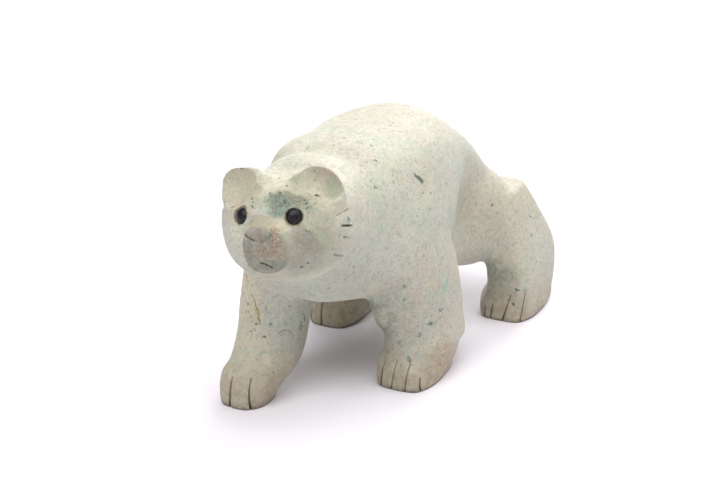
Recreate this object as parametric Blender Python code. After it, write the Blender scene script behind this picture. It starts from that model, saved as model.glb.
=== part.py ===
"""A walking bear carved from one block of pale turquoise, with two bead eyes in drilled sockets.

Metres, +Z up. The bear faces -Y and its left side is +X. The origin is on the surface that it
stands on, in the middle of its box. The pose, the proportions and the places of the carved lines
are written in figure units, of which the bear is about 69 high, and are scaled to HEIGHT at the
end. The beads, their sockets and the widths of the cut lines are real sizes.
"""

import math

import bmesh
import bpy
import numpy as np
from mathutils import Matrix, Vector
from mathutils.bvhtree import BVHTree

# Driving sizes, in metres
HEIGHT = 0.070
BEAD_RADIUS = 0.0020
BEAD_THICKNESS = 0.0027
BEAD_PROUD = 0.0009
SOCKET_CLEARANCE = 0.0003
TOE_LINE_WIDTH = 0.0009
FACE_LINE_WIDTH = 0.0007

# Fineness: voxel in figure units, softening passes, triangles of the skin, points of each part
VOXEL = 0.85
BODY_SMOOTHING = 26
FUSE_SMOOTHING = 8
SKIN_TRIANGLES = 6800
RING_POINTS = 32
RINGS_BETWEEN = 4
END_RINGS = 4
LINE_SIDES = 6
TOE_LINE_STEPS = 7
FACE_LINE_STEPS = 3
BEAD_SEGMENTS = 20
SOCKET_SEGMENTS = 24

X, Y, Z = Vector((1, 0, 0)), Vector((0, 1, 0)), Vector((0, 0, 1))

# Torso and underside, in figure units: y, x, z of the middle, half width, half height
TORSO = [
    (-26, 0, 46.5, 14.5, 17.0),
    (-14, 0, 46.3, 18.0, 20.8),
    (0, 0, 45.6, 20.5, 23.0),
    (14, 0, 44.4, 20.5, 24.2),
    (26, 0, 42.4, 18.5, 24.2),
    (41, 0, 38.0, 18.2, 21.2),
    (57, 0, 29.0, 18.0, 13.8),
]
BELLY = [
    (14, 0, 30.0, 17.0, 9.5),
    (30, 0, 27.4, 19.4, 9.8),
    (44, 0, 26.0, 20.5, 10.8),
    (54, 0, 25.8, 19.5, 11.0),
]

# Neck, shoulders, haunches and rump: middle, radii
SWELLS = [
    ((-0.4, -24, 50.5), (16.6, 17.5, 16.6)),
    ((-8.6, -7, 53.4), (11.2, 13, 12.6)),
    ((12.5, 1, 42), (10, 17, 18)),
    ((-11.5, -12, 42), (9.5, 15, 17)),
    ((10.5, 46, 33), (12.5, 14.5, 12)),
    ((-11.5, 46, 31), (11, 14, 13)),
    ((0, 51, 28.5), (18.5, 13.5, 12)),
]

# Legs, from the sole up: z, x, y of the middle, half width, half length
LEGS = {
    "right_front": [
        (4, -15.8, -22.5, 7.5, 11.5),
        (10, -15.2, -19.5, 7.6, 12),
        (18, -15.0, -17, 7.7, 12),
        (28, -14.5, -14.5, 8.4, 12),
        (40, -12.5, -13, 8.6, 13),
        (50, -10, -12, 7.5, 11),
    ],
    "left_front": [
        (4, 15.5, 4.5, 7.8, 11),
        (7, 15.9, 5.2, 8.0, 11),
        (11, 16.7, 6.8, 9.2, 14.0),
        (18, 16.2, 5.6, 9.2, 13.2),
        (28, 15.3, 4.0, 9.5, 13.4),
        (38, 13, 1.5, 9.6, 14.5),
        (50, 10, -1, 9, 13),
    ],
    "right_hind": [
        (4, -20.5, 34, 6.8, 11.5),
        (11, -20.5, 36.5, 6.8, 11),
        (20, -19.2, 39.5, 8, 12.5),
        (30, -15.5, 44, 10, 13.5),
        (38, -12, 48, 10, 12),
    ],
    "left_hind": [
        (4, 22.8, 58.5, 7.4, 12.5),
        (11, 23.2, 57.5, 7.6, 13),
        (20, 21.4, 56.5, 8.6, 13),
        (30, 16.0, 54.6, 10.8, 10.9),
        (36.8, 13.2, 53.6, 10.0, 9.6),
    ],
}
# How far a leg's top bulges past its last row; the left haunch ends in a flat shelf
LEG_TOPS = {"right_front": 0.4, "left_front": 0.4, "right_hind": 0.3, "left_hind": 0.06}
LEG_SOLE = 0.1

# Paws: x, y, turn of the toes to the bear's right in degrees, half width, half length, height
PAWS = {
    "right_front": (-17.0, -23.5, 4, 7.7, 11.0, 9.5),
    "left_front": (15.2, 4.0, 0, 8.2, 12.3, 9.5),
    "right_hind": (-20.6, 33.5, 0, 7.4, 12.5, 9),
    "left_hind": (22.6, 59, 0, 7.8, 13.3, 9.5),
}
# A paw's sections as shares of its size: place along it, middle height, half width, half height
PAW_SECTIONS = [
    (-0.80, 0.30, 0.74, 0.52),
    (-0.45, 0.34, 0.95, 0.64),
    (0.10, 0.34, 1.00, 0.66),
    (0.75, 0.30, 0.86, 0.60),
]

# Head: the middle of the skull, and its turn, nod and tilt in degrees; it faces -Y in its own frame
HEAD_PLACE = Vector((0.4, -38, 54.5))
HEAD_TURN, HEAD_NOD, HEAD_TILT = 6.0, 4.0, 6.5

# Skull and muzzle in the head's frame: y, x, z of the middle, half width, half height
SKULL = [
    (-9.5, 0, -1.4, 11.5, 9.3),
    (-5, 0, -1.4, 15, 11.6),
    (2, 0, -1.4, 16.4, 12.2),
    (9, 0, -1.4, 15.3, 12),
]
MUZZLE = [
    (-16.0, 0, -0.9, 4.9, 5.5),
    (-12, 0, -1.1, 6.2, 6.9),
    (-6, 0, -1.6, 9, 8.8),
]
MUZZLE_FLAT = ((0, -15.3, -0.9), (0, -1, 0.12), 9)
# The left ear: middle, radii, turns about X, Y and Z in degrees; the right ear mirrors it
EAR = ((9.6, 0, 7.6), (7.2, 3.4, 6.2), (-10, 28, -16))

# Hollows pressed into the figure: place, reach along X, Y and Z, push
BODY_HOLLOWS = [
    ((21, 33, 38), (12, 12, 17), (-3.4, 0, 0)),
    ((-21, 14, 38), (12, 12, 17), (3.4, 0, 0)),
    ((-4, -19, 67), (15, 4.5, 7), (0, 0, -0.6)),
]
# The same in the head's frame, on its left side: round the eye, and the front of the ear
HEAD_HOLLOWS = [
    ((6.8, -11, 4.4), (4.6, 4.5, 4.2), (0, 1.6, -0.2)),
    ((9.5, -4.5, 10), (4.2, 4, 4.2), (-0.6, 2.6, -0.6)),
]

# Toe lines: sideways place at the sole, sideways place at the top, height of the top
TOE_LINES = {
    "right_front": [(-2.0, -1.4, 8.2), (3.9, 3.4, 8.6)],
    "left_front": [(-4.7, -4.3, 7.2), (-1.7, -0.6, 8.2), (2.2, 3.4, 10.5), (6.2, 6.0, 7.5)],
    "right_hind": [(-4.8, -4.4, 7.0), (-1.2, -1.0, 8.0)],
    "left_hind": [(-4.6, -4.0, 7.0), (-3.0, -1.6, 8.0), (0.7, 3.0, 8.5), (5.5, 7.0, 10.3)],
}
TOE_LINE_FOOT = 0.4
TOE_LINE_BELOW = 2.0

# Lines cut under the nose and at the mouth, as (x, z) in the head's frame
FACE_LINES = [
    [(-4.2, 3.4), (-3.4, 2.2), (-1.9, 1.5)],
    [(2.4, 2.9), (1.2, 1.6), (-0.3, 1.1)],
    [(-1.9, -3.9), (0.2, -4.2), (2.4, -5.0)],
]
# The left eye in the head's frame: x and z, and the way it looks; the right eye mirrors it
EYE_PLACE = (6.65, 5.45)
EYE_LOOK = (0.44, -0.79, 0.43)
BEFORE_FACE = -60

STONE_COLOUR = (0.62, 0.62, 0.51)
STONE_ROUGHNESS = 0.6
BEAD_COLOUR = (0.012, 0.012, 0.016)
BEAD_ROUGHNESS = 0.2


def clear_scene():
    for obj in list(bpy.data.objects):
        bpy.data.objects.remove(obj)


def new_object(name, mesh):
    obj = bpy.data.objects.new(name, mesh)
    bpy.context.scene.collection.objects.link(obj)
    return obj


def evaluated_mesh(obj, name):
    """A new mesh with the object's modifiers applied."""
    bpy.context.view_layer.update()
    graph = bpy.context.evaluated_depsgraph_get()
    mesh = bpy.data.meshes.new_from_object(obj.evaluated_get(graph), depsgraph=graph)
    mesh.name = name
    return mesh


def joined_object(name, pieces):
    """One object from several bmeshes, which it uses up."""
    joined = bmesh.new()
    for piece in pieces:
        mesh = bpy.data.meshes.new(name)
        piece.to_mesh(mesh)
        piece.free()
        joined.from_mesh(mesh)
        bpy.data.meshes.remove(mesh)
    mesh = bpy.data.meshes.new(name)
    joined.to_mesh(mesh)
    joined.free()
    return new_object(name, mesh)


def superellipse(count, power):
    """Points round a unit superellipse: power 2 is a circle, a higher power is squarer."""
    points = []
    for i in range(count):
        angle = 2 * math.pi * i / count
        c, s = math.cos(angle), math.sin(angle)
        x = math.copysign(abs(c) ** (2 / power), c)
        y = math.copysign(abs(s) ** (2 / power), s)
        points.append((x, y))
    return points


def spline(a, b, c, d, t):
    """A point between b and c on the Catmull-Rom spline through a, b, c and d."""
    linear = (c - a) * t
    square = (2 * a - 5 * b + 4 * c - d) * t * t
    cube = (3 * b - a - 3 * c + d) * t**3
    return 0.5 * (2 * b + linear + square + cube)


def filled_in(rows, steps):
    """The rows, with smoothly changing rows between them."""
    ends = [rows[0], *rows, rows[-1]]
    filled = []
    for i in range(len(rows) - 1):
        for k in range(steps):
            columns = zip(*ends[i : i + 4])
            filled.append([spline(*column, k / steps) for column in columns])
    filled.append(list(rows[-1]))
    return filled


def skin_of_rings(rings):
    """A closed mesh through rings of equally many points, with a fan over each end."""
    mesh = bmesh.new()
    made = [[mesh.verts.new(point) for point in ring] for ring in rings]
    count = len(rings[0])
    for lower, upper in zip(made, made[1:]):
        for i in range(count):
            k = (i + 1) % count
            mesh.faces.new((lower[i], lower[k], upper[k], upper[i]))
    for ring in (made[0], made[-1]):
        middle = mesh.verts.new(sum((v.co for v in ring), Vector()) / count)
        for i in range(count):
            mesh.faces.new((ring[i], ring[(i + 1) % count], middle))
    bmesh.ops.recalc_face_normals(mesh, faces=mesh.faces)
    return mesh


def end_rows(row, direction, bulge):
    """Rows that round off a loft past its first or last row, from the row outwards."""
    rounded = []
    for k in range(END_RINGS):
        angle = math.pi / 2 * (k + 0.35) / (END_RINGS + 0.35)
        place = row[0] + direction * math.sin(angle) * bulge * row[4]
        share = math.cos(angle)
        rounded.append([place, row[1], row[2], row[3] * share, row[4] * share])
    return rounded


def loft(rows, axes, power, bulges):
    """A mass through superellipse sections.

    A row is (place along, sideways, upward, half width, half height) on the three axes.
    bulges says how far each end rounds out, as a share of its row's half height.
    """
    along, across, upward = axes
    filled = filled_in(rows, RINGS_BETWEEN)
    start = end_rows(filled[0], -1, bulges[0])
    end = end_rows(filled[-1], 1, bulges[1])
    section = superellipse(RING_POINTS, power)
    rings = []
    for place, x, y, half_width, half_height in start[::-1] + filled[1:-1] + end:
        middle = along * place + across * x + upward * y
        rings.append([middle + across * (half_width * u) + upward * (half_height * v) for u, v in section])
    return skin_of_rings(rings)


def ellipsoid(middle, radii, turns=(0, 0, 0)):
    """An ellipsoid, turned about X, Y and Z in that order, in degrees."""
    mesh = bmesh.new()
    bmesh.ops.create_uvsphere(mesh, u_segments=32, v_segments=20, radius=1.0)
    turned = Matrix.Identity(4)
    for axis, degrees in zip("XYZ", turns):
        turned = Matrix.Rotation(math.radians(degrees), 4, axis) @ turned
    mesh.transform(Matrix.Translation(middle) @ turned @ Matrix.Diagonal((*radii, 1)))
    return mesh


def paw(name):
    """A low rounded block that reaches below the ground, where it is cut flat later."""
    x, y, turn, half_width, half_length, height = PAWS[name]
    rows = [
        (along * half_length, 0, middle * height, wide * half_width, high * height)
        for along, middle, wide, high in PAW_SECTIONS
    ]
    mesh = loft(rows, (Y, X, Z), 2.6, (0.32, 0.3))
    mesh.transform(Matrix.Translation((x, y, 0)) @ Matrix.Rotation(math.radians(-turn), 4, "Z"))
    return mesh


def leg(name):
    return loft(LEGS[name], (Z, X, Y), 2.6, (LEG_SOLE, LEG_TOPS[name]))


def body_masses():
    masses = [loft(TORSO, (Y, X, Z), 2.3, (0.5, 0.5)), loft(BELLY, (Y, X, Z), 2.7, (0.3, 0.3))]
    masses += [ellipsoid(*swell) for swell in SWELLS]
    masses += [leg(name) for name in LEGS]
    masses += [paw(name) for name in PAWS]
    return masses


def head_frame():
    turn = Matrix.Rotation(math.radians(HEAD_TURN), 4, "Z")
    nod = Matrix.Rotation(math.radians(HEAD_NOD), 4, "X")
    tilt = Matrix.Rotation(math.radians(-HEAD_TILT), 4, "Y")
    return Matrix.Translation(HEAD_PLACE) @ turn @ nod @ tilt


def head_masses():
    masses = [loft(SKULL, (Y, X, Z), 2.4, (0.45, 0.8)), loft(MUZZLE, (Y, X, Z), 2.4, (0.12, 0.5))]
    (x, y, z), radii, (turn_x, turn_y, turn_z) = EAR
    for side in (1, -1):
        masses.append(ellipsoid((side * x, y, z), radii, (turn_x, side * turn_y, side * turn_z)))
    for mass in masses:
        mass.transform(head_frame())
    return masses


def fused(masses, smoothing):
    """Masses fused into one skin and softened, so that the creases between them fill."""
    obj = joined_object("masses", masses)
    fuse = obj.modifiers.new("fuse", "REMESH")
    fuse.mode = "VOXEL"
    fuse.voxel_size = VOXEL
    soften = obj.modifiers.new("soften", "SMOOTH")
    soften.factor = 0.5
    soften.iterations = smoothing
    mesh = evaluated_mesh(obj, "skin")
    bpy.data.objects.remove(obj)
    return mesh


def fused_figure():
    """The soft body first, then the crisper paws, left haunch and head on it."""
    body = bmesh.new()
    body.from_mesh(fused(body_masses(), BODY_SMOOTHING))
    paws = [paw(name) for name in PAWS]
    return fused([body, leg("left_hind"), *paws, *head_masses()], FUSE_SMOOTHING)


def hollowed(points, place, reach, push):
    """Points moved by push at place, fading out smoothly with distance."""
    away = (points - np.array(place)) / np.array(reach)
    weight = np.exp(-2 * (away**2).sum(axis=1))
    return points + weight[:, None] * np.array(push)


def shaved(points, place, normal, reach):
    """Points that lie past a plane near place, moved back onto the plane."""
    normal = np.array(normal) / np.linalg.norm(normal)
    away = points - np.array(place)
    past = np.clip(away @ normal, 0, None)
    past[np.linalg.norm(away, axis=1) > reach] = 0
    return points - past[:, None] * normal


def carve(mesh):
    """Press the hollows and shave the front of the muzzle flat."""
    points = np.empty(len(mesh.vertices) * 3)
    mesh.vertices.foreach_get("co", points)
    points = points.reshape(-1, 3)
    for place, reach, push in BODY_HOLLOWS:
        points = hollowed(points, place, reach, push)
    head = np.array(head_frame())
    turned, origin = head[:3, :3], head[:3, 3]
    local = (points - origin) @ turned
    for place, reach, push in HEAD_HOLLOWS:
        for side in (1, -1):
            mirror = np.array((side, 1, 1))
            local = hollowed(local, place * mirror, reach, push * mirror)
    local = shaved(local, *MUZZLE_FLAT)
    points = local @ turned.T + origin
    mesh.vertices.foreach_set("co", points.reshape(-1))
    mesh.update()


def thinned(mesh):
    """The same skin with about SKIN_TRIANGLES triangles."""
    obj = new_object("skin", mesh)
    thin = obj.modifiers.new("thin", "DECIMATE")
    thin.ratio = SKIN_TRIANGLES / (2 * len(mesh.polygons))
    result = evaluated_mesh(obj, "skin")
    bpy.data.objects.remove(obj)
    return result


def stand_on_ground(mesh):
    """Cut off what lies below the ground, which leaves a flat sole under each paw."""
    whole = bmesh.new()
    whole.from_mesh(mesh)
    everything = whole.verts[:] + whole.edges[:] + whole.faces[:]
    bmesh.ops.bisect_plane(whole, geom=everything, plane_co=(0, 0, 0), plane_no=Z, clear_inner=True)
    rims = [edge for edge in whole.edges if edge.is_boundary]
    bmesh.ops.holes_fill(whole, edges=rims, sides=0)
    bmesh.ops.recalc_face_normals(whole, faces=whole.faces)
    whole.to_mesh(mesh)
    whole.free()


def box_of(mesh):
    points = np.empty(len(mesh.vertices) * 3)
    mesh.vertices.foreach_get("co", points)
    points = points.reshape(-1, 3)
    return points.min(axis=0), points.max(axis=0)


def real_frame(mesh):
    """The move from figure units to metres, with the origin under the middle of the box."""
    low, high = box_of(mesh)
    unit = HEIGHT / high[2]
    middle = Vector((-(low[0] + high[0]) / 2, -(low[1] + high[1]) / 2, 0))
    return Matrix.Scale(unit, 4) @ Matrix.Translation(middle)


def skin_tree(mesh):
    whole = bmesh.new()
    whole.from_mesh(mesh)
    tree = BVHTree.FromBMesh(whole)
    whole.free()
    return tree


def on_skin(tree, starts, direction):
    """Where rays from the starts meet the skin."""
    return [tree.ray_cast(start, direction)[0] for start in starts]


def tube(points, radius):
    """A closed tube along the points, which cuts a line of its own width."""
    rings = []
    aside = X
    for i in range(len(points)):
        ahead = (points[min(i + 1, len(points) - 1)] - points[max(i - 1, 0)]).normalized()
        aside = (aside - ahead * aside.dot(ahead)).normalized()
        other = ahead.cross(aside)
        ring = []
        for k in range(LINE_SIDES):
            angle = 2 * math.pi * k / LINE_SIDES
            ring.append(points[i] + (aside * math.cos(angle) + other * math.sin(angle)) * radius)
        rings.append(ring)
    return skin_of_rings(rings)


def toe_line(tree, name, sole_x, top_x, top_z):
    """The path of a toe line, from under the sole up the front of a paw."""
    x, y, _, _, half_length, _ = PAWS[name]
    starts = []
    for k in range(TOE_LINE_STEPS + 1):
        t = k / TOE_LINE_STEPS
        height = TOE_LINE_FOOT + (top_z - TOE_LINE_FOOT) * t
        starts.append(Vector((x + sole_x + (top_x - sole_x) * t, y - 3 * half_length, height)))
    path = on_skin(tree, starts, Y)
    return [path[0] - Z * TOE_LINE_BELOW, *path]


def face_line(tree, places):
    """The path of a line on the front of the head."""
    head = head_frame()
    starts = [head @ Vector((x, BEFORE_FACE, z)) for x, z in filled_in(places, FACE_LINE_STEPS)]
    return on_skin(tree, starts, head.to_3x3() @ Y)


def line_cutters(tree, frame):
    """The tubes that cut the toe lines and the lines of the face."""
    unit = frame.median_scale
    tubes = []
    for name, rows in TOE_LINES.items():
        tubes += [tube(toe_line(tree, name, *row), TOE_LINE_WIDTH / 2 / unit) for row in rows]
    tubes += [tube(face_line(tree, places), FACE_LINE_WIDTH / 2 / unit) for places in FACE_LINES]
    for mesh in tubes:
        mesh.transform(frame)
    return tubes


def eye_frame(tree, frame, side):
    """A frame on the skin at an eye, in metres, whose Z axis points the way the eye looks."""
    head = head_frame()
    start = head @ Vector((side * EYE_PLACE[0], BEFORE_FACE, EYE_PLACE[1]))
    place = frame @ on_skin(tree, [start], head.to_3x3() @ Y)[0]
    look = head.to_3x3() @ Vector((side * EYE_LOOK[0], EYE_LOOK[1], EYE_LOOK[2]))
    return Matrix.Translation(place) @ look.to_track_quat("Z", "Y").to_matrix().to_4x4()


def bead():
    """A lens-shaped bead, looking along its Z axis, that stands BEAD_PROUD out of the skin at its origin."""
    mesh = bmesh.new()
    bmesh.ops.create_uvsphere(mesh, u_segments=BEAD_SEGMENTS, v_segments=BEAD_SEGMENTS // 2, radius=1.0)
    mesh.transform(Matrix.Diagonal((BEAD_RADIUS, BEAD_RADIUS, BEAD_THICKNESS / 2, 1)))
    mesh.transform(Matrix.Translation((0, 0, BEAD_PROUD - BEAD_THICKNESS / 2)))
    return mesh


def socket_cutter(eye):
    """The drilled seat of a bead, clear of it all round and below by SOCKET_CLEARANCE."""
    radius = BEAD_RADIUS + SOCKET_CLEARANCE
    depth = BEAD_THICKNESS - BEAD_PROUD + SOCKET_CLEARANCE
    mesh = bmesh.new()
    bmesh.ops.create_cone(
        mesh, cap_ends=True, segments=SOCKET_SEGMENTS, radius1=radius, radius2=radius, depth=2 * depth
    )
    mesh.transform(eye)
    return mesh


def cut(target, name, pieces):
    """Cut the pieces out of the target; they stay as a hidden cutter object."""
    cutter = joined_object(name, pieces)
    cutter.hide_render = True
    cutter.display_type = "WIRE"
    boolean = target.modifiers.new(name, "BOOLEAN")
    boolean.operation = "DIFFERENCE"
    boolean.solver = "EXACT"
    boolean.object = cutter


def finish(obj, colour, roughness):
    """Give the object its own material and smooth shading with sharp cut edges."""
    material = bpy.data.materials.new(obj.name)
    material.use_nodes = True
    shader = material.node_tree.nodes["Principled BSDF"]
    shader.inputs["Base Color"].default_value = (*colour, 1)
    shader.inputs["Roughness"].default_value = roughness
    shader.inputs["Metallic"].default_value = 0
    obj.data.materials.append(material)
    obj.data.shade_smooth()
    obj.data.set_sharp_from_angle(angle=math.radians(40))


def build():
    clear_scene()
    skin = fused_figure()
    carve(skin)
    skin = thinned(skin)
    stand_on_ground(skin)
    tree = skin_tree(skin)
    frame = real_frame(skin)
    skin.transform(frame)
    bear = new_object("bear_body", skin)
    cut(bear, "line_cutter", line_cutters(tree, frame))
    eyes = {"left_eye": eye_frame(tree, frame, 1), "right_eye": eye_frame(tree, frame, -1)}
    cut(bear, "socket_cutter", [socket_cutter(eye) for eye in eyes.values()])
    finish(bear, STONE_COLOUR, STONE_ROUGHNESS)
    for name, eye in eyes.items():
        seated = joined_object(name, [bead()])
        seated.matrix_world = eye
        seated.parent = bear
        finish(seated, BEAD_COLOUR, BEAD_ROUGHNESS)
    return frame


FRAME = build()
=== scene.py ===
"""The looks of a walking bear carved from pale turquoise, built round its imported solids.

Metres, +Z up. The bear faces -Y and its left side is +X. Its skin is made again from the
solid's named masses, in figure units, with a finer surface and the fine carving, and then
brought into the solid's frame. Marks on the stone are given in figure units too.
"""

import math

import bmesh
import bpy
import numpy as np
from mathutils import Euler, Matrix, Vector
from mathutils.bvhtree import BVHTree


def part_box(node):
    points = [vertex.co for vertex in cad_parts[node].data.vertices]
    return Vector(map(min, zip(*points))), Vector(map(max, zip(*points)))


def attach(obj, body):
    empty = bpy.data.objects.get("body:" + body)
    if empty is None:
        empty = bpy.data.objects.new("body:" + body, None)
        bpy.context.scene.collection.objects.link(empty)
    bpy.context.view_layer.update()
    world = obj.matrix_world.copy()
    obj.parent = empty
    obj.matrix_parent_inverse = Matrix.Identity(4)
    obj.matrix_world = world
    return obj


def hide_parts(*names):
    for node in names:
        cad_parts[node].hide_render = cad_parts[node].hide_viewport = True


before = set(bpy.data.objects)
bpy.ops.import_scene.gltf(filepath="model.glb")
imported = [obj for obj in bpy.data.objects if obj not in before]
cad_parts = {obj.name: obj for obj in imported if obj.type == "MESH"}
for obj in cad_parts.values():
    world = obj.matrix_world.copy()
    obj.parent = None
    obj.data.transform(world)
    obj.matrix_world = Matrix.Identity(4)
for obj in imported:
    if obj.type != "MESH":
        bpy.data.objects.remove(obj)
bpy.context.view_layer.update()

X, Y, Z = Vector((1, 0, 0)), Vector((0, 1, 0)), Vector((0, 0, 1))

# Fineness: voxels in figure units, softening passes, triangles of the finished skin
BODY_VOXEL = 0.6
BODY_SMOOTHING = 52
SKIN_VOXEL = 0.36
SKIN_SMOOTHING = 40
SKIN_TRIANGLES = 190000
RING_POINTS = 48
RINGS_BETWEEN = 5
END_RINGS = 5
# How far round a rounded end its first ring lies, in rings
END_START = 0.35
BALL_SEGMENTS, BEAD_SEGMENTS = (48, 32), (64, 48)

# Metres in a figure unit, and the figure's place over the solid's origin in figure units
UNIT = 0.001012
SHIFT = Vector((-1.4305, -8.5901, 0))

# Torso and underside, in figure units: y, x, z of the middle, half width, half height
TORSO = [
    (-26, 0, 46.5, 14.5, 17),
    (-14, 0, 46.3, 18, 20.8),
    (0, 0, 45.6, 20.5, 23),
    (14, 0, 44.4, 20.5, 24.2),
    (26, 0, 42.4, 18.5, 24.2),
    (41, 0, 38, 18.2, 21.2),
    (57, 0, 29, 18, 13.8),
]
BELLY = [
    (14, 0, 30.6, 17, 9),
    (30, 0, 28.5, 19.4, 9.4),
    (44, 0, 25.7, 20.5, 11),
    (54, 0, 25.8, 19.5, 11),
]

# Neck, shoulders, haunches and rump: middle, radii
SWELLS = [
    ((-0.4, -24, 50.5), (16.6, 17.5, 16.6)),
    ((-8.6, -7, 53.4), (11.2, 13, 12.6)),
    ((12.5, 1, 42), (10, 17, 18)),
    ((-11.5, -12, 42), (9.5, 15, 17)),
    ((10.5, 46, 33), (12.5, 14.5, 12)),
    ((-11.5, 46, 31), (11, 14, 13)),
    ((0, 51, 28.5), (18.5, 13.5, 12)),
    ((10.8, -5, 24.5), (3.6, 5.5, 9.5)),
]

# Legs, from the sole up: z, x, y of the middle, half width, half length
LEGS = {
    "right_front": [
        (1, -16.8, -28.6, 5.6, 4.8),
        (5, -15.7, -24.6, 7, 9.2),
        (8, -15.2, -21.6, 7.5, 11.5),
        (11, -15.1, -20, 7.7, 12.3),
        (18, -15, -17, 7.8, 12.1),
        (28, -14.5, -14.5, 8.4, 12),
        (40, -12.5, -13, 8.6, 13),
        (50, -10, -12, 7.5, 11),
    ],
    "left_front": [
        (4, 16, 5.2, 8.3, 12.8),
        (7.5, 16.2, 6.2, 8.4, 12.6),
        (11, 16.3, 6.2, 8.5, 12.6),
        (18, 16.2, 5.6, 9.2, 13.2),
        (28, 15.3, 4, 9.5, 13.4),
        (38, 13, 1.5, 9.6, 14.5),
        (50, 10, -1, 9, 13),
    ],
    "right_hind": [
        (4, -20.5, 34, 6.8, 11.5),
        (11, -20.5, 36.5, 6.8, 11),
        (20, -19.2, 39.5, 8, 12.5),
        (30, -15.5, 44, 10, 13.5),
        (38, -12, 48, 10, 12),
    ],
    "left_hind": [
        (4, 22.4, 58.3, 7.6, 12.3),
        (11, 23.4, 58.1, 7.2, 12.3),
        (20, 22.1, 57.4, 7.9, 12.1),
        (30, 16, 54.6, 10.8, 10.9),
        (36.8, 13.2, 53.6, 10, 9.6),
    ],
}
# The left front leg's ankle, which ends in a step over the heel; rows as for a leg
ANKLE = [
    (10.2, 16.9, 6.6, 9, 12.7),
    (13, 16.7, 6.4, 9, 12.7),
    (18, 16.1, 5.3, 8.7, 12.5),
    (25, 15.4, 4.2, 8.6, 11.5),
]
# How far a leg's top bulges past its last row; the left haunch ends in a flat shelf
LEG_TOPS = {"right_front": 0.4, "left_front": 0.4, "right_hind": 0.3, "left_hind": 0.06}
LEG_SOLE = 0.1
# How square a leg is in section
LEG_POWERS = {"right_front": 2.6, "left_front": 2.6, "right_hind": 2.6, "left_hind": 4.2}

# Paws: x, y, turn of the toes to the bear's right in degrees, half width, half length, height
PAWS = {
    "right_front": (-17.1, -28, 4, 6.6, 6.5, 11.3),
    "left_front": (14.9, 3.9, 0, 8.4, 12.6, 9.5),
    "right_hind": (-19.9, 32.2, 0, 7.4, 12.5, 9),
    "left_hind": (21.9, 58.4, 0, 8.5, 13.8, 9.5),
}
# A paw's sections as shares of its size: place along it, middle height, half width, half height
PAW_SECTIONS = [
    (-0.80, 0.30, 0.74, 0.52),
    (-0.45, 0.34, 0.95, 0.64),
    (0.10, 0.34, 1.00, 0.66),
    (0.75, 0.30, 0.86, 0.60),
]

# How square the other masses are in section, and how far they bulge past their two ends
SECTIONS = {
    "torso": (2.3, (0.5, 0.5)),
    "belly": (2.7, (0.3, 0.3)),
    "paw": (2.6, (0.32, 0.3)),
    "ankle": (2.6, (0.06, 0.3)),
    "skull": (2.4, (0.45, 0.8)),
    "muzzle": (2.4, (0.12, 0.5)),
}

# Head: the middle of the skull, and its turn, nod and tilt in degrees; it faces -Y in its frame
HEAD_PLACE = Vector((0.4, -38, 54.5))
HEAD_TURN, HEAD_NOD, HEAD_TILT = 6.0, 4.0, 6.5

# Skull and muzzle in the head's frame: y, x, z of the middle, half width, half height
SKULL = [
    (-9.5, 0, -1.4, 11.5, 9.3),
    (-5, 0, -1.4, 15, 11.6),
    (2, 0, -1.4, 16.4, 12.2),
    (9, 0, -1.4, 15.3, 12),
]
MUZZLE = [
    (-16, 0, -0.9, 4.9, 5.5),
    (-12, 0, -1.1, 6.2, 6.9),
    (-6, 0, -1.6, 9, 8.8),
]
MUZZLE_FLAT = ((0, -15.3, -0.9), (0, -1, 0.12), 9)

# The ears and their roots on the inner side: middle, radii, turns about X, Y and Z in degrees
EARS = [
    ((9.6, 0, 7.6), (7.2, 3.4, 6.2), (-10, 28, -16)),
    ((6, 0.5, 8.7), (4.6, 2.8, 3.5), (-10, 30, -10)),
    ((-8.9, 0, 7.4), (6.7, 3.4, 5.8), (-10, -28, 16)),
    ((-5.4, 0.5, 8.3), (4.4, 2.8, 3.3), (-10, -30, 10)),
    ((-11, 0.3, 9.7), (4.2, 2.7, 3.7), (-10, 0, 16)),
]

# Hollows pressed into the figure: place, reach along X, Y and Z, push; and how fast they fade out
HOLLOW_FADE = 2
BODY_HOLLOWS = [
    ((0, 8, 70), (26, 34, 12), (0, 0, -0.9)),
    ((8, 36, 56), (10, 12, 10), (-0.4, 0, -1)),
    ((6, 53, 42), (10, 6, 5), (0, 0, -0.6)),
    ((-3, -32, 66), (12, 10, 7), (0, 0, -0.5)),
    ((21, 33, 38), (12, 12, 17), (-3.4, 0, 0)),
    ((-21, 14, 38), (12, 12, 17), (3.4, 0, 0)),
    ((-4, -19, 67), (15, 4.5, 7), (0, 0, -0.6)),
]
# The same round the left eye, in the head's frame and mirrored for the right one
EYE_HOLLOW = ((6.8, -11, 4.4), (4.6, 4.5, 4.2), (0, 1.6, -0.2))
# The concave front of the left ear, mirrored too: middle, way it faces and runs, radii, depth
EAR_FACET = ((10.6, -1.1, 11), (0.12, -0.87, 0.47), (0.9, 0.1, -0.4), (16, 8.8, 9), 1)
# The ridge under it, and how high and wide it stands out and how far it reaches
BROW_RIDGE = [(4.9, -6.9, 8.8), (8.1, -5.7, 7.8), (11.4, -5.3, 6.5), (13.5, -4.9, 4.6)]
BROW_RIDGE_SHAPE = (0.3, 1.3, 4)
# Fine ridges left by the blade over the nose: middle, first and last radius, spacing, height,
# how fast they fade at both, and the place that they end at
NOSE_RIDGES = ((-1, 1.5), 4, 5.9, 0.8, 0.06)
NOSE_RIDGE_FADES, NOSE_RIDGES_BACK = (0.5, 0.8), -9
# The part of the head whose skin is split finer before carving: least and most x, y, z
FINE_HEAD = ((-17, -18, -8), (17, 1, 15))

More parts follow.
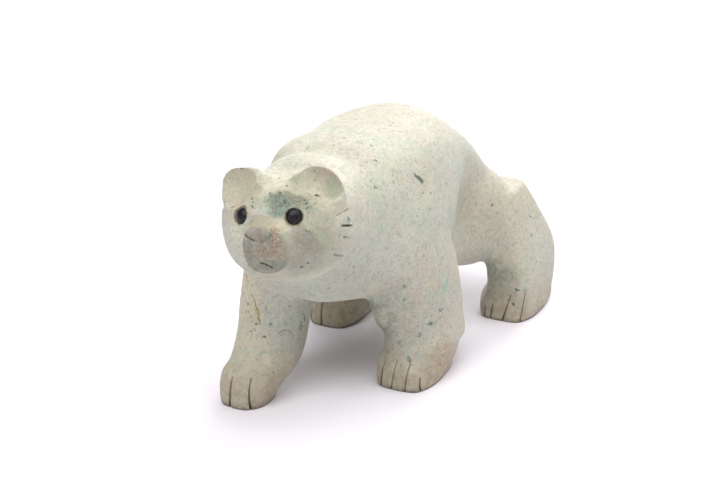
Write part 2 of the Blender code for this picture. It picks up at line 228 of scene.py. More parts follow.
# Toe lines: sideways place at the sole and at the top, height of the top, half width, dirt
TOE_LINES = {
    "right_front": [(-1.55, -0.8, 8.4, 0.38, 1), (4.1, 3.9, 8.2, 0.38, 1)],
    "left_front": [
        (-4.6, -3.7, 7.2, 0.3, 1),
        (-1.3, -0.1, 8.2, 0.2, 0.55),
        (2.5, 3.6, 8.6, 0.22, 0.6),
        (6.2, 6.2, 4.2, 0.28, 0.9),
    ],
    "right_hind": [(-4.8, -4.4, 7, 0.3, 0.9), (-1.2, -1, 8, 0.3, 0.9)],
    "left_hind": [
        (-4.6, -4, 7, 0.22, 0.8),
        (-2.7, -1.3, 8, 0.22, 0.8),
        (1, 3.3, 8.5, 0.26, 0.85),
        (5.8, 7.3, 10.3, 0.24, 0.8),
    ],
}
TOE_LINE_STEPS = 12
TOE_LINE_DEPTH = 0.42
# Height at which a toe line starts, its reach below that, and where it is cast from in half paws
TOE_LINE_START, TOE_LINE_UNDER, BEFORE_PAW = 0.4, 2, 3
# Heights between which a toe line gets narrower and cleaner upwards, and the share left on top
TOE_LINE_FADE = (1, 8, 0.35)

# Lines cut under the nose and at the mouth, as (x, z) in the head's frame
FACE_LINES = [
    [(-4.2, 3.4), (-3.4, 2.2), (-1.9, 1.5)],
    [(2.4, 2.9), (1.2, 1.6), (-0.3, 1.1)],
    [(-0.9, -3.8), (0.4, -4.15), (2, -4.8)],
]
FACE_LINE_STEPS = 6
FACE_LINE_SHAPE = (0.25, 0.28)
FACE_LINE_DIRT = (0.85, 0.3, 0.9)
# Where lines and eyes are cast onto the face from
BEFORE_FACE = -60

# Cracks in the stone, as half width, depth, dirt and path, and pits, as place and radius
CRACKS = [
    (
        *(0.16, 0.15, 0.55),
        [(-16.3, -26.2, 28.3), (-15.2, -26.6, 26.9), (-14.9, -26.8, 25.6), (-14, -27, 24.5)],
    ),
    (
        *(0.16, 0.15, 0.55),
        [(-14, -27, 24.5), (-13.7, -27.3, 23.4), (-13.9, -27.4, 22.6), (-13.2, -27.7, 21.3)],
    ),
    (0.16, 0.12, 0.5, [(-7.5, -18.5, 14.9), (-7.7, -16.6, 13.6), (-8, -14, 11.3)]),
    (
        *(0.16, 0.12, 0.45),
        [(-9.6, -25.7, 18.7), (-8.9, -25.5, 19.1), (-8.2, -24, 19.2), (-7.6, -22.4, 18.4)]
        + [(-7.4, -21.4, 16.9)],
    ),
]
PITS = [
    ((-10.8, -26.8, 21.4), 0.5),
    ((-11.7, -28.1, 18.2), 0.35),
    ((-7.7, -22.6, 25.3), 0.35),
    ((-7.4, -16.5, 17.5), 0.35),
    ((26.8, 45.6, 9.9), 0.4),
    ((25.9, 46.1, 5.9), 0.35),
    ((23.1, -4.5, 19.2), 0.45),
]
# The same on the head, in its own frame
HEAD_CRACKS = [
    (0.3, 0.35, 0.3, [(15.3, -3.5, 0.6), (16.2, 0.5, -1.1)]),
    (0.2, 0.12, 0, [(15.4, -3.6, -2.2), (15.3, 0.5, -4.2), (15.2, 4.4, -6.4)]),
    (0.2, 0.12, 0, [(14.5, -4.1, 3.3), (15.4, -1.1, 3.1), (15.6, 0.8, 3)]),
    (0.2, 0.10, 0, [(13.5, -6.2, -5.6), (14.2, -2.8, -7.4)]),
]
HEAD_PITS = [
    ((7.5, -11.8, -6.4), 0.5),
    ((9, -11.3, -5.5), 0.4),
    ((9.9, -2.7, 7.8), 0.4),
    ((-4.4, -7.7, 8.5), 0.3),
]
PIT_DEPTH = 0.2
PIT_DIRT = 0.6
# The skin is split finer twice near a line, which touches nothing further off than its reach
LINE_REACHES, PATH_REACH = (0.9, 0.54), 2
# The share of its width that a line keeps where it has faded out
NARROWEST = 0.4
# Dirt in a line: how fast it ends, and where, in half widths from the middle
DIRT_EDGE = (1.4, 1.1)

# Hand-worked unevenness of the skin: number of waves, shortest and longest wave, height
WAVES = (14, 9, 22, 0.035)
WAVES_SEED = 7

# The left eye in the head's frame: x and z, and the way it looks; the right eye mirrors it
EYE_PLACE = (6.65, 5.45)
EYE_LOOK = (0.44, -0.79, 0.43)
# Bead sizes and the cement round it, in figure units
BEAD_RADIUS = 0.0020 / UNIT
BEAD_HALF_THICKNESS = 0.00135 / UNIT
BEAD_PROUD = 0.0009 / UNIT
SOCKET_RADIUS = BEAD_RADIUS - 0.1
SOCKET_DEPTH = 1.2
# The skin pressed flat round a bead: how deep, how strongly, and over what width it fades out
SEAT_DEPTH, SEAT_FLATTENING = 3, 0.6
SEAT_MARGIN, SEAT_FADE = 0.9, 1.0
# The roll of cement: outer radius, and how far inside that it is highest, its height and width
CEMENT_RADIUS = 2.25
CEMENT_INSET, CEMENT_HEIGHT, CEMENT_WIDTH = 0.25, 0.1, 0.22
# Middle of the cement's colour seen from the bead, in the head's frame, and reach: left, right
CEMENT = {1: ((-0.1, 0, -0.1), 2.25), -1: ((-0.35, 0, 0.2), 2.4)}


def superellipse(count, power):
    points = []
    for i in range(count):
        angle = 2 * math.pi * i / count
        c, s = math.cos(angle), math.sin(angle)
        x = math.copysign(abs(c) ** (2 / power), c)
        y = math.copysign(abs(s) ** (2 / power), s)
        points.append((x, y))
    return points


def spline(a, b, c, d, t):
    linear = (c - a) * t
    square = (2 * a - 5 * b + 4 * c - d) * t * t
    cube = (3 * b - a - 3 * c + d) * t**3
    return 0.5 * (2 * b + linear + square + cube)


def filled_in(rows, steps):
    """The rows, with smoothly changing rows between them."""
    ends = [rows[0], *rows, rows[-1]]
    filled = []
    for i in range(len(rows) - 1):
        for k in range(steps):
            columns = zip(*ends[i : i + 4])
            filled.append([spline(*column, k / steps) for column in columns])
    filled.append(list(rows[-1]))
    return filled


def skin_of_rings(rings):
    """A closed mesh through rings of equally many points, with a fan over each end."""
    mesh = bmesh.new()
    made = [[mesh.verts.new(point) for point in ring] for ring in rings]
    count = len(rings[0])
    for lower, upper in zip(made, made[1:]):
        for i in range(count):
            k = (i + 1) % count
            mesh.faces.new((lower[i], lower[k], upper[k], upper[i]))
    for ring in (made[0], made[-1]):
        middle = mesh.verts.new(sum((v.co for v in ring), Vector()) / count)
        for i in range(count):
            mesh.faces.new((ring[i], ring[(i + 1) % count], middle))
    bmesh.ops.recalc_face_normals(mesh, faces=mesh.faces)
    return mesh


def end_rows(row, direction, bulge):
    """Rows that round off a loft past its first or last row, from the row outwards."""
    rounded = []
    for k in range(END_RINGS):
        angle = math.pi / 2 * (k + END_START) / (END_RINGS + END_START)
        place = row[0] + direction * math.sin(angle) * bulge * row[4]
        share = math.cos(angle)
        rounded.append([place, row[1], row[2], row[3] * share, row[4] * share])
    return rounded


def loft(rows, axes, power, bulges):
    """A mass through superellipse sections, rounded past both ends."""
    along, across, upward = axes
    filled = filled_in(rows, RINGS_BETWEEN)
    start = end_rows(filled[0], -1, bulges[0])
    end = end_rows(filled[-1], 1, bulges[1])
    section = superellipse(RING_POINTS, power)
    rings = []
    for place, x, y, half_width, half_height in start[::-1] + filled[1:-1] + end:
        middle = along * place + across * x + upward * y
        ring = [across * (half_width * u) + upward * (half_height * v) for u, v in section]
        rings.append([middle + point for point in ring])
    return skin_of_rings(rings)


def unit_ball(segments):
    mesh = bmesh.new()
    bmesh.ops.create_uvsphere(mesh, u_segments=segments[0], v_segments=segments[1], radius=1.0)
    return mesh


def ellipsoid(middle, radii, turns=(0, 0, 0)):
    mesh = unit_ball(BALL_SEGMENTS)
    turned = Matrix.Identity(4)
    for axis, degrees in zip("XYZ", turns):
        turned = Matrix.Rotation(math.radians(degrees), 4, axis) @ turned
    mesh.transform(Matrix.Translation(middle) @ turned @ Matrix.Diagonal((*radii, 1)))
    return mesh


def paw(name):
    x, y, turn, half_width, half_length, height = PAWS[name]
    rows = [
        (along * half_length, 0, middle * height, wide * half_width, high * height)
        for along, middle, wide, high in PAW_SECTIONS
    ]
    mesh = loft(rows, (Y, X, Z), *SECTIONS["paw"])
    mesh.transform(Matrix.Translation((x, y, 0)) @ Matrix.Rotation(math.radians(-turn), 4, "Z"))
    return mesh


def leg(name):
    return loft(LEGS[name], (Z, X, Y), LEG_POWERS[name], (LEG_SOLE, LEG_TOPS[name]))


def lofts(**tables):
    """Masses lofted from front to back, each with the sections of its name."""
    return [loft(rows, (Y, X, Z), *SECTIONS[name]) for name, rows in tables.items()]


def body_masses():
    masses = lofts(torso=TORSO, belly=BELLY)
    masses += [ellipsoid(*swell) for swell in SWELLS]
    masses += [leg(name) for name in LEGS]
    masses += [paw(name) for name in PAWS]
    return masses


def head_frame():
    turn = Matrix.Rotation(math.radians(HEAD_TURN), 4, "Z")
    nod = Matrix.Rotation(math.radians(HEAD_NOD), 4, "X")
    tilt = Matrix.Rotation(math.radians(-HEAD_TILT), 4, "Y")
    return Matrix.Translation(HEAD_PLACE) @ turn @ nod @ tilt


def head_masses():
    masses = lofts(skull=SKULL, muzzle=MUZZLE)
    masses += [ellipsoid(*ear) for ear in EARS]
    for mass in masses:
        mass.transform(head_frame())
    return masses


def new_object(name, mesh):
    obj = bpy.data.objects.new(name, mesh)
    bpy.context.scene.collection.objects.link(obj)
    return obj


def joined_object(name, pieces):
    joined = bmesh.new()
    for piece in pieces:
        mesh = bpy.data.meshes.new(name)
        piece.to_mesh(mesh)
        piece.free()
        joined.from_mesh(mesh)
        bpy.data.meshes.remove(mesh)
    mesh = bpy.data.meshes.new(name)
    joined.to_mesh(mesh)
    joined.free()
    return new_object(name, mesh)


def applied(obj, name):
    """The object's mesh with its modifiers applied; the object is removed."""
    bpy.context.view_layer.update()
    graph = bpy.context.evaluated_depsgraph_get()
    mesh = bpy.data.meshes.new_from_object(obj.evaluated_get(graph), depsgraph=graph)
    mesh.name = name
    bpy.data.objects.remove(obj)
    return mesh


def fused(masses, voxel, smoothing):
    """Masses fused into one skin and softened, so that the creases between them fill."""
    obj = joined_object("masses", masses)
    fuse = obj.modifiers.new("fuse", "REMESH")
    fuse.mode = "VOXEL"
    fuse.voxel_size = voxel
    soften = obj.modifiers.new("soften", "SMOOTH")
    soften.factor = 0.5
    soften.iterations = smoothing
    return applied(obj, "skin")


def fused_figure():
    """The soft body first, then the crisper paws, left haunch and head on it."""
    body = bmesh.new()
    body.from_mesh(fused(body_masses(), BODY_VOXEL, BODY_SMOOTHING))
    paws = [paw(name) for name in PAWS]
    ankle = loft(ANKLE, (Z, X, Y), *SECTIONS["ankle"])
    masses = [body, leg("left_hind"), ankle, *paws, *head_masses()]
    return fused(masses, SKIN_VOXEL, SKIN_SMOOTHING)


def vertex_data(mesh, name):
    values = np.empty(len(mesh.vertices) * 3)
    mesh.vertices.foreach_get(name, values)
    return values.reshape(-1, 3)


def points_of(mesh):
    return vertex_data(mesh, "co")


def put_points(mesh, points):
    mesh.vertices.foreach_set("co", points.reshape(-1))
    mesh.update()


def hollowed(points, place, reach, push):
    """Points moved by push at place, fading out smoothly with distance."""
    away = (points - np.array(place)) / np.array(reach)
    weight = np.exp(-HOLLOW_FADE * (away**2).sum(axis=1))
    return points + weight[:, None] * np.array(push)


def shaved(points, place, normal, reach):
    """Points that lie past a plane near place, moved back onto the plane."""
    normal = np.array(normal) / np.linalg.norm(normal)
    away = points - np.array(place)
    past = np.clip(away @ normal, 0, None)
    past[np.linalg.norm(away, axis=1) > reach] = 0
    return points - past[:, None] * normal


def to_head(points):
    head = np.array(head_frame())
    return (points - head[:3, 3]) @ head[:3, :3]


def from_head(points):
    head = np.array(head_frame())
    return points @ head[:3, :3].T + head[:3, 3]


def facet_frame(side):
    """The middle and axes, along, up and out, of the ellipsoid that scoops the front of an ear."""
    middle, facing, along, radii, depth = EAR_FACET
    mirror = Vector((side, 1, 1))
    facing, along = Vector(facing) * mirror, Vector(along) * mirror
    facing.normalize()
    along = (along - facing * along.dot(facing)).normalized()
    up = facing.cross(along)
    place = Vector(middle) * mirror + facing * (radii[2] - depth)
    return Matrix.Translation(place) @ Matrix((along, up, facing)).transposed().to_4x4()


def scooped(points, middle_and_axes, radii):
    """Points inside an ellipsoid, moved along its third axis onto the far side of it."""
    axes = np.array(middle_and_axes)
    away = (points - axes[:3, 3]) @ axes[:3, :3] / np.array(radii)
    room = 1 - away[:, 0] ** 2 - away[:, 1] ** 2
    floor_of_scoop = -np.sqrt(np.clip(room, 0, None))
    inside = (room > 0) & (away[:, 2] > floor_of_scoop) & (away[:, 2] < 0)
    away[:, 2] = np.where(inside, floor_of_scoop, away[:, 2])
    return (away * np.array(radii)) @ axes[:3, :3].T + axes[:3, 3]


def split_finer(mesh, chosen):
    """Halve the edges between chosen points."""
    whole = bmesh.new()
    whole.from_mesh(mesh)
    whole.verts.ensure_lookup_table()
    edges = [edge for edge in whole.edges if all(chosen[vertex.index] for vertex in edge.verts)]
    bmesh.ops.subdivide_edges(whole, edges=edges, cuts=1, use_grid_fill=True)
    whole.to_mesh(mesh)
    whole.free()


def carve(mesh):
    """Press the hollows, scoop the ears and shave the front of the muzzle flat."""
    local = to_head(points_of(mesh))
    low, high = FINE_HEAD
    split_finer(mesh, ((local > low) & (local < high)).all(axis=1))
    points = points_of(mesh)
    for place, reach, push in BODY_HOLLOWS:
        points = hollowed(points, place, reach, push)
    local = to_head(points)
    place, reach, push = EYE_HOLLOW
    for side in (1, -1):
        mirror = np.array((side, 1, 1))
        local = hollowed(local, place * mirror, reach, push * mirror)
    for side in (1, -1):
        local = scooped(local, facet_frame(side), EAR_FACET[3])
    local = shaved(local, *MUZZLE_FLAT)
    put_points(mesh, from_head(local))


def raised(mesh):
    """Raise the brow ridges and the blade's ridges over the nose, and leave the skin uneven."""
    points, normals = points_of(mesh), vertex_data(mesh, "normal")
    local = to_head(points)
    height, width, reach = BROW_RIDGE_SHAPE
    rise = np.zeros(len(points))
    for side in (1, -1):
        path = [(side * x, y, z) for x, y, z in filled_in(BROW_RIDGE, FACE_LINE_STEPS)]
        away = distance_to_path(local, path, reach) / width
        rise = np.maximum(rise, height * np.exp(-(away**2)))
    (x, z), first, last, spacing, height = NOSE_RIDGES
    start, end = NOSE_RIDGE_FADES
    radius = np.hypot(local[:, 0] - x, local[:, 2] - z)
    band = np.clip((radius - first) / start, 0, 1) * np.clip((last - radius) / end, 0, 1)
    band *= (local[:, 1] < NOSE_RIDGES_BACK) & (local[:, 2] > z)
    rise += height * band * np.sin(2 * math.pi * radius / spacing)
    generator = np.random.default_rng(WAVES_SEED)
    count, shortest, longest, height = WAVES
    for _ in range(count):
        direction = generator.normal(size=3)
        direction *= 2 * math.pi / generator.uniform(shortest, longest) / np.linalg.norm(direction)
        rise += height * np.sin(points @ direction + generator.uniform(0, 2 * math.pi))
    put_points(mesh, points + rise[:, None] * normals)


def skin_tree(mesh):
    whole = bmesh.new()
    whole.from_mesh(mesh)
    tree = BVHTree.FromBMesh(whole)
    whole.free()
    return tree


def on_skin(tree, starts, direction):
    """Where rays from the starts meet the skin."""
    return [tree.ray_cast(start, direction)[0] for start in starts]


def toe_line(tree, name, sole_x, top_x, top_z):
    """The path of a toe line, from under the sole up the front of a paw."""
    x, y, _, _, half_length, _ = PAWS[name]
    y -= BEFORE_PAW * half_length
    starts = []
    for k in range(TOE_LINE_STEPS + 1):
        t = k / TOE_LINE_STEPS
        z = TOE_LINE_START + (top_z - TOE_LINE_START) * t
        starts.append(Vector((x + sole_x + (top_x - sole_x) * t, y, z)))
    path = on_skin(tree, starts, Y)
    return [path[0] - Z * TOE_LINE_UNDER, *path]


def face_line(tree, places):
    head = head_frame()
    starts = [head @ Vector((x, BEFORE_FACE, z)) for x, z in filled_in(places, FACE_LINE_STEPS)]
    return on_skin(tree, starts, head.to_3x3() @ Y)


def near_skin(tree, places):
    return [tree.find_nearest(Vector(place))[0] for place in places]


def distance_to_path(points, path, reach):
    """Each point's distance to the nearest stretch of the path; those out of reach are far."""
    path = np.array([tuple(p) for p in path])
    far = np.full(len(points), 1e3)
    low, high = path.min(axis=0) - reach, path.max(axis=0) + reach
    near = np.nonzero(((points > low) & (points < high)).all(axis=1))[0]
    for a, b in zip(path, path[1:]):
        step = b - a
        away = points[near] - a
        share = np.clip(away @ step / max(step @ step, 1e-9), 0, 1)
        gap = np.linalg.norm(away - share[:, None] * step, axis=1)
        far[near] = np.minimum(far[near], gap)
    return far


def cuts(tree):
    """Every line and pit in the skin: half width, depth, dirt and path."""
    head = head_frame()
    found = []
    for name, rows in TOE_LINES.items():
        for *ends, half_width, dirt in rows:
            found.append((half_width, TOE_LINE_DEPTH, dirt, toe_line(tree, name, *ends)))
    half_width, depth = FACE_LINE_SHAPE
    for dirt, places in zip(FACE_LINE_DIRT, FACE_LINES):
        found.append((half_width, depth * dirt, dirt, face_line(tree, places)))
    found += [(*shape, near_skin(tree, path)) for *shape, path in CRACKS]
    for *shape, path in HEAD_CRACKS:
        found.append((*shape, near_skin(tree, [head @ Vector(place) for place in path])))
    pits = PITS + [(head @ Vector(place), radius) for place, radius in HEAD_PITS]
    for place, radius in pits:
        found.append((radius, PIT_DEPTH, PIT_DIRT, near_skin(tree, [place, place])))
    return found


def cut_lines(mesh):
    """Cut the lines and pits as rounded grooves, on skin split finer along them; they stay dark."""
    found = cuts(skin_tree(mesh))
    for reach in LINE_REACHES:
        points = points_of(mesh)
        near = np.zeros(len(points), bool)
        for *_, path in found:
            near |= distance_to_path(points, path, PATH_REACH) < reach
        split_finer(mesh, near)
    points, normals = points_of(mesh), vertex_data(mesh, "normal")
    depths, dark = np.zeros(len(points)), np.zeros(len(points))
    low, high, least = TOE_LINE_FADE
    share = 1 - (1 - least) * np.clip((points[:, 2] - low) / (high - low), 0, 1)
    share[points[:, 2] > 2 * high] = 1
    steepness, edge = DIRT_EDGE
    for half_width, depth, dirt, path in found:
        half_widths = half_width * (NARROWEST + (1 - NARROWEST) * share)
        gap = distance_to_path(points, path, PATH_REACH) / half_widths
        depths = np.maximum(depths, depth * np.clip(1 - gap**2, 0, 1))
        dark = np.maximum(dark, dirt * np.clip(steepness * (edge - gap), 0, 1))
    dark *= share
    put_points(mesh, points - depths[:, None] * normals)
    attribute = mesh.attributes.new("dark", "FLOAT", "POINT")
    attribute.data.foreach_set("value", dark.astype(np.float32))


def eye_frame(tree, side):
    """A frame on the skin at an eye, whose Z axis points the way the eye looks."""
    head = head_frame()
    start = head @ Vector((side * EYE_PLACE[0], BEFORE_FACE, EYE_PLACE[1]))
    place = on_skin(tree, [start], head.to_3x3() @ Y)[0]
    look = head.to_3x3() @ Vector((side * EYE_LOOK[0], EYE_LOOK[1], EYE_LOOK[2]))
    return Matrix.Translation(place) @ look.to_track_quat("Z", "Y").to_matrix().to_4x4()


def seat_eye(mesh, eye):
    """Press the socket of a bead, with a slight roll of cement round it."""
    frame_of_eye = np.array(eye)
    local = (points_of(mesh) - frame_of_eye[:3, 3]) @ frame_of_eye[:3, :3]
    radius = np.hypot(local[:, 0], local[:, 1])
    near = np.abs(local[:, 2]) < SEAT_DEPTH
    level = np.clip((CEMENT_RADIUS + SEAT_MARGIN - radius) / SEAT_FADE, 0, 1) ** 2
    off_ring = (radius - CEMENT_RADIUS + CEMENT_INSET) / CEMENT_WIDTH
    ring = CEMENT_HEIGHT * np.exp(-(off_ring**2))
    seated = local[:, 2] * (1 - SEAT_FLATTENING * level) + ring
    local[:, 2] = np.where(near, seated, local[:, 2])
    sunk = near & (radius < SOCKET_RADIUS)
    local[sunk, 2] = -SOCKET_DEPTH
    put_points(mesh, local @ frame_of_eye[:3, :3].T + frame_of_eye[:3, 3])


def thinned(mesh, triangles):
    obj = new_object("skin", mesh)
    thin = obj.modifiers.new("thin", "DECIMATE")
    thin.ratio = min(1, triangles / (2 * len(mesh.polygons)))
    return applied(obj, "skin")


def stand_on_ground(mesh):
    """Cut off what lies below the ground, which leaves a flat sole under each paw."""
    whole = bmesh.new()
    whole.from_mesh(mesh)
    everything = whole.verts[:] + whole.edges[:] + whole.faces[:]
    bmesh.ops.bisect_plane(
        whole, geom=everything, plane_co=(0, 0, 0), plane_no=Z, clear_inner=True
    )
    rims = [edge for edge in whole.edges if edge.is_boundary]
    bmesh.ops.holes_fill(whole, edges=rims, sides=0)
    bmesh.ops.recalc_face_normals(whole, faces=whole.faces)
    whole.to_mesh(mesh)
    whole.free()


def fitted(mesh, low, high):
    """Shrink the mesh where it would reach out of this box."""
    low, high = np.array(low), np.array(high)
    points = points_of(mesh)
    least, most = points.min(axis=0), points.max(axis=0)
    new_least, new_most = np.maximum(least, low), np.minimum(most, high)
    put_points(mesh, new_least + (points - least) * (new_most - new_least) / (most - least))


def stone_and_eyes():
    """The finished skin, in metres in the solid's frame and box, and the frames of its eyes."""
    mesh = fused_figure()
    carve(mesh)
    raised(mesh)
    tree = skin_tree(mesh)
    eyes = {side: eye_frame(tree, side) for side in (1, -1)}
    cut_lines(mesh)
    for eye in eyes.values():
        seat_eye(mesh, eye)
    stand_on_ground(mesh)
    mesh = thinned(mesh, SKIN_TRIANGLES)
    mesh.transform(Matrix.Scale(UNIT, 4) @ Matrix.Translation(SHIFT))
    fitted(mesh, *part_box("bear_body"))
    mesh.shade_smooth()
    return new_object("bear_stone", mesh), eyes


def bead(name, eye):
    """A lens-shaped bead that stands out of its socket."""
    mesh = unit_ball(BEAD_SEGMENTS)
    mesh.transform(Matrix.Diagonal((BEAD_RADIUS, BEAD_RADIUS, BEAD_HALF_THICKNESS, 1)))
    mesh.transform(Matrix.Translation((0, 0, BEAD_PROUD - BEAD_HALF_THICKNESS)))
    mesh.transform(Matrix.Scale(UNIT, 4) @ Matrix.Translation(SHIFT) @ eye)
    data = bpy.data.meshes.new(name)
    mesh.to_mesh(data)
    mesh.free()
    data.shade_smooth()
    return new_object(name, data)


# Colours of the stone, as linear red, green, blue
CREAM = (0.60, 0.58, 0.49)
MINT = (0.49, 0.535, 0.445)
PALE_LEAF = (0.36, 0.395, 0.28)
BEIGE = (0.50, 0.45, 0.355)
PINK = (0.50, 0.425, 0.36)
OLIVE = (0.375, 0.375, 0.285)
GREY_BROWN = (0.22, 0.205, 0.165)
MUZZLE_GREY = (0.10, 0.09, 0.07)
MUZZLE_BROWN = (0.29, 0.235, 0.175)
NOSE_BROWN = (0.20, 0.155, 0.115)
NOSE_RED = (0.20, 0.075, 0.04)
PAW_BROWN = (0.36, 0.28, 0.185)
# Dirt and painted contact shade along the soles
SOLE_DIRT_AND_SHADE = (0.10, 0.09, 0.075)
TEAL = (0.15, 0.235, 0.21)
PALE_TEAL = (0.40, 0.485, 0.43)
DARK_GREEN = (0.05, 0.085, 0.065)
GREEN_GREY = (0.16, 0.21, 0.165)
GROOVE = (0.02, 0.021, 0.016)
ORANGE = (0.42, 0.22, 0.10)
TAN = (0.44, 0.31, 0.17)
YELLOW = (0.60, 0.545, 0.34)
PALE_YELLOW = (0.66, 0.60, 0.44)
STRAW = (0.53, 0.50, 0.35)
DASH_BROWN = (0.075, 0.04, 0.033)
RUST = (0.15, 0.065, 0.04)
# Painted shade under the belly, on the right hind paw
PAW_SHADE = (0.12, 0.10, 0.075)
SEA_GREEN = (0.27, 0.44, 0.31)
CEMENT_OLIVE = (0.20, 0.175, 0.055)
CEMENT_DARK = (0.07, 0.065, 0.03)
OCHRE = (0.40, 0.34, 0.12)
DUSTY_BROWN = (0.33, 0.26, 0.19)
LIGHT_BEIGE = (0.56, 0.52, 0.43)
PAW_OLIVE = (0.42, 0.375, 0.27)
EAR_BROWN = (0.34, 0.28, 0.20)
GREENISH = (0.43, 0.52, 0.39)
WARM = (0.57, 0.475, 0.36)
BROW_GREY = (0.10, 0.125, 0.085)
BROW_TEAL = (0.08, 0.15, 0.13)
NOSE_TOP = (0.37, 0.31, 0.23)
BROW_DARK = (0.05, 0.068, 0.045)
EAR_OLIVE = (0.25, 0.28, 0.19)
HEAD_OCHRE = (0.46, 0.38, 0.22)
HEAD_TEAL = (0.34, 0.46, 0.41)
MOUTH_GREY = (0.12, 0.14, 0.12)
CHALK = (0.74, 0.72, 0.64)

# How noise pushes colours about: its scale, and how far
WAVES_OF_BODY, WAVES_OF_HEAD = (0.11, 14), (0.3, 4)
RAGGED_EDGES, RAGGED_CEMENT = (1.2, 1.8), (0.9, 0.7)

# Noise on the body and on the head: place, scale, detail, roughness
BODY_NOISES = {
    "broad": ((0, 0, 0), 0.09, 3, 0.55),
    "middling": ((0, 0, 0), 0.45, 4, 0.6),
    "fine": ((0, 0, 0), 2.2, 4, 0.65),
    "drift": ((17, 29, 3), 0.2, 5, 0.62),
    "cloud": ((31, 7, 3), 0.3, 6, 0.72),
    "grain": ((3, 51, 9), 0.95, 5, 0.72),
    "hue": ((61, 5, 23), 0.75, 4, 0.7),
}
HEAD_NOISES = {
    "ears": ((7, 2, 11), 0.42, 4, 0.7),
    "muzzle": ((0, 0, 0), 1.2, 5, 0.75),
    "blotches": ((0, 0, 0), 1.1, 6, 0.85),
    "rough": ((0, 0, 0), 1.8, 5, 0.8),
    "tint": ((23, 9, 31), 0.9, 4, 0.75),
}
# Steps of a height or a noise: where each starts and ends, and the shares there
MINT_BELOW, MINT_DRIFT = (64, 48, 0, 0.75), (0.42, 0.62, -0.15, 0.35)
# The soles' step is the height below which they take dirt and painted contact shade
PAW_BELOW, PAW_TONE, SOLE_DIRT_AND_SHADE_BELOW = (15, 3, 0, 0.82), (0.44, 0.58), (1.1, 0.1, 0, 0.8)
EAR_TONE, EAR_CLOUD = (0.42, 0.58), (0.35, 0.6, 0.6, 1)
MUZZLE_TONE, CEMENT_TONE = (0.4, 0.6), (0.4, 0.6)

# Mottling by noise, in order: noise, where it starts and ends, strength, colour
MOTTLING = [
    ("drift", 0.5, 0.66, 0.45, PINK),
    ("drift", 0.48, 0.34, 0.6, STRAW),
    ("cloud", 0.5, 0.68, 0.6, PALE_TEAL),
    ("middling", 0.54, 0.7, 0.4, BEIGE),
    ("grain", 0.5, 0.72, 0.42, GREY_BROWN),
    ("grain", 0.5, 0.3, 0.35, CHALK),
    ("fine", 0.52, 0.72, 0.3, GREY_BROWN),
    ("fine", 0.48, 0.28, 0.22, CHALK),
    ("hue", 0.52, 0.68, 0.55, GREENISH),
    ("hue", 0.48, 0.32, 0.5, WARM),
]
BROW_MOTTLING = [
    ("blotches", 0.5, 0.58, 0.85, BROW_DARK),
    ("blotches", 0.44, 0.36, 0.45, CREAM),
]
HEAD_MOTTLING = [
    ("rough", 0.51, 0.66, 0.95, OLIVE),
    ("rough", 0.49, 0.32, 0.35, CHALK),
    ("tint", 0.52, 0.66, 0.4, HEAD_OCHRE),
    ("tint", 0.48, 0.34, 0.35, HEAD_TEAL),
]
# Where these two lie on the head: middle, radii, softness
BROW_AREA = ((5, -7.8, 8.2), (6.6, 4.6, 3.4), 0.9)
HEAD_AREA = ((0, -5, 3), (22, 17, 21), 0.4)

# Flecks all over: place of the noise, scale, where it starts and ends, strength, colour
FLECKS = [
    ((9, 4, 17), 0.6, 0.59, 0.67, 0.38, TEAL),
    ((3, 21, 5), 1.2, 0.60, 0.68, 0.6, TEAL),
    ((41, 11, 2), 0.9, 0.61, 0.70, 0.4, PINK),
    ((5, 33, 27), 1.5, 0.67, 0.72, 0.65, DARK_GREEN),
    ((17, 3, 37), 2.2, 0.62, 0.70, 0.4, GREY_BROWN),
]
FLECK_DETAIL = (3, 0.6)
# Sparse dark flecks: place, cells per unit, size in cells, share of the cells, strength; and the
# least size added to every one of them, and the step over their edge
SPARSE_FLECKS = ((13, 2, 8), 0.3, 0.14, 0.3, 0.75)
FLECK_LEAST, FLECK_EDGE = 0.35, (1.0, 0.6)

# The darker front of each ear: middle on the head, radii, and how soft its own edge and the
# scoop's edge are; the scoop's colour reaches a little past its radii
EAR_FRONTS = {1: (10.9, -1, 10.8), -1: (-10.4, -1, 10.4)}
EAR_FRONT_RADII = (7, 6, 4.2)
EAR_SOFTNESS, SCOOP_SOFTNESS = 0.3, 0.12
EAR_COLOUR_REACH = 1.05

# The flat front of the muzzle: steps back along Y and across X, the blurred edge of its colour
# as middle, radii and softness, its strength, and the strength of the whole
MUZZLE_FRONT = ((-14.3, -15), (3.5, 0.5))
MUZZLE_BLUR, MUZZLE_BLUR_STRENGTH = ((0.3, -15.6, -1.2), (5.4, 3.5, 6.0), 0.6), 0.9
MUZZLE_STRENGTH = 0.88
# The pale rim behind it: steps along Y and X, and strength
MUZZLE_RIM, MUZZLE_RIM_STRENGTH = ((-13.0, -13.8), (1.0, -1.5)), 0.45
# The browner nose pad: its middle's distance to the right, the slope of its lower edges, its
# lowest height, the step over its edge, and strength
NOSE_PAD = (1, 0.55, 0.9, (-0.1, 0.3), 0.5)
# The rust-red web beside it: cells per unit, steps of the web and of the noise that breaks it,
# where it lies as middle, radii and softness, and strength
VEINS = (1.1, (0.2, 0.05), (0.38, 0.55), ((2, -14.9, 1.7), (3, 3, 3.4), 0.8), 0.9)

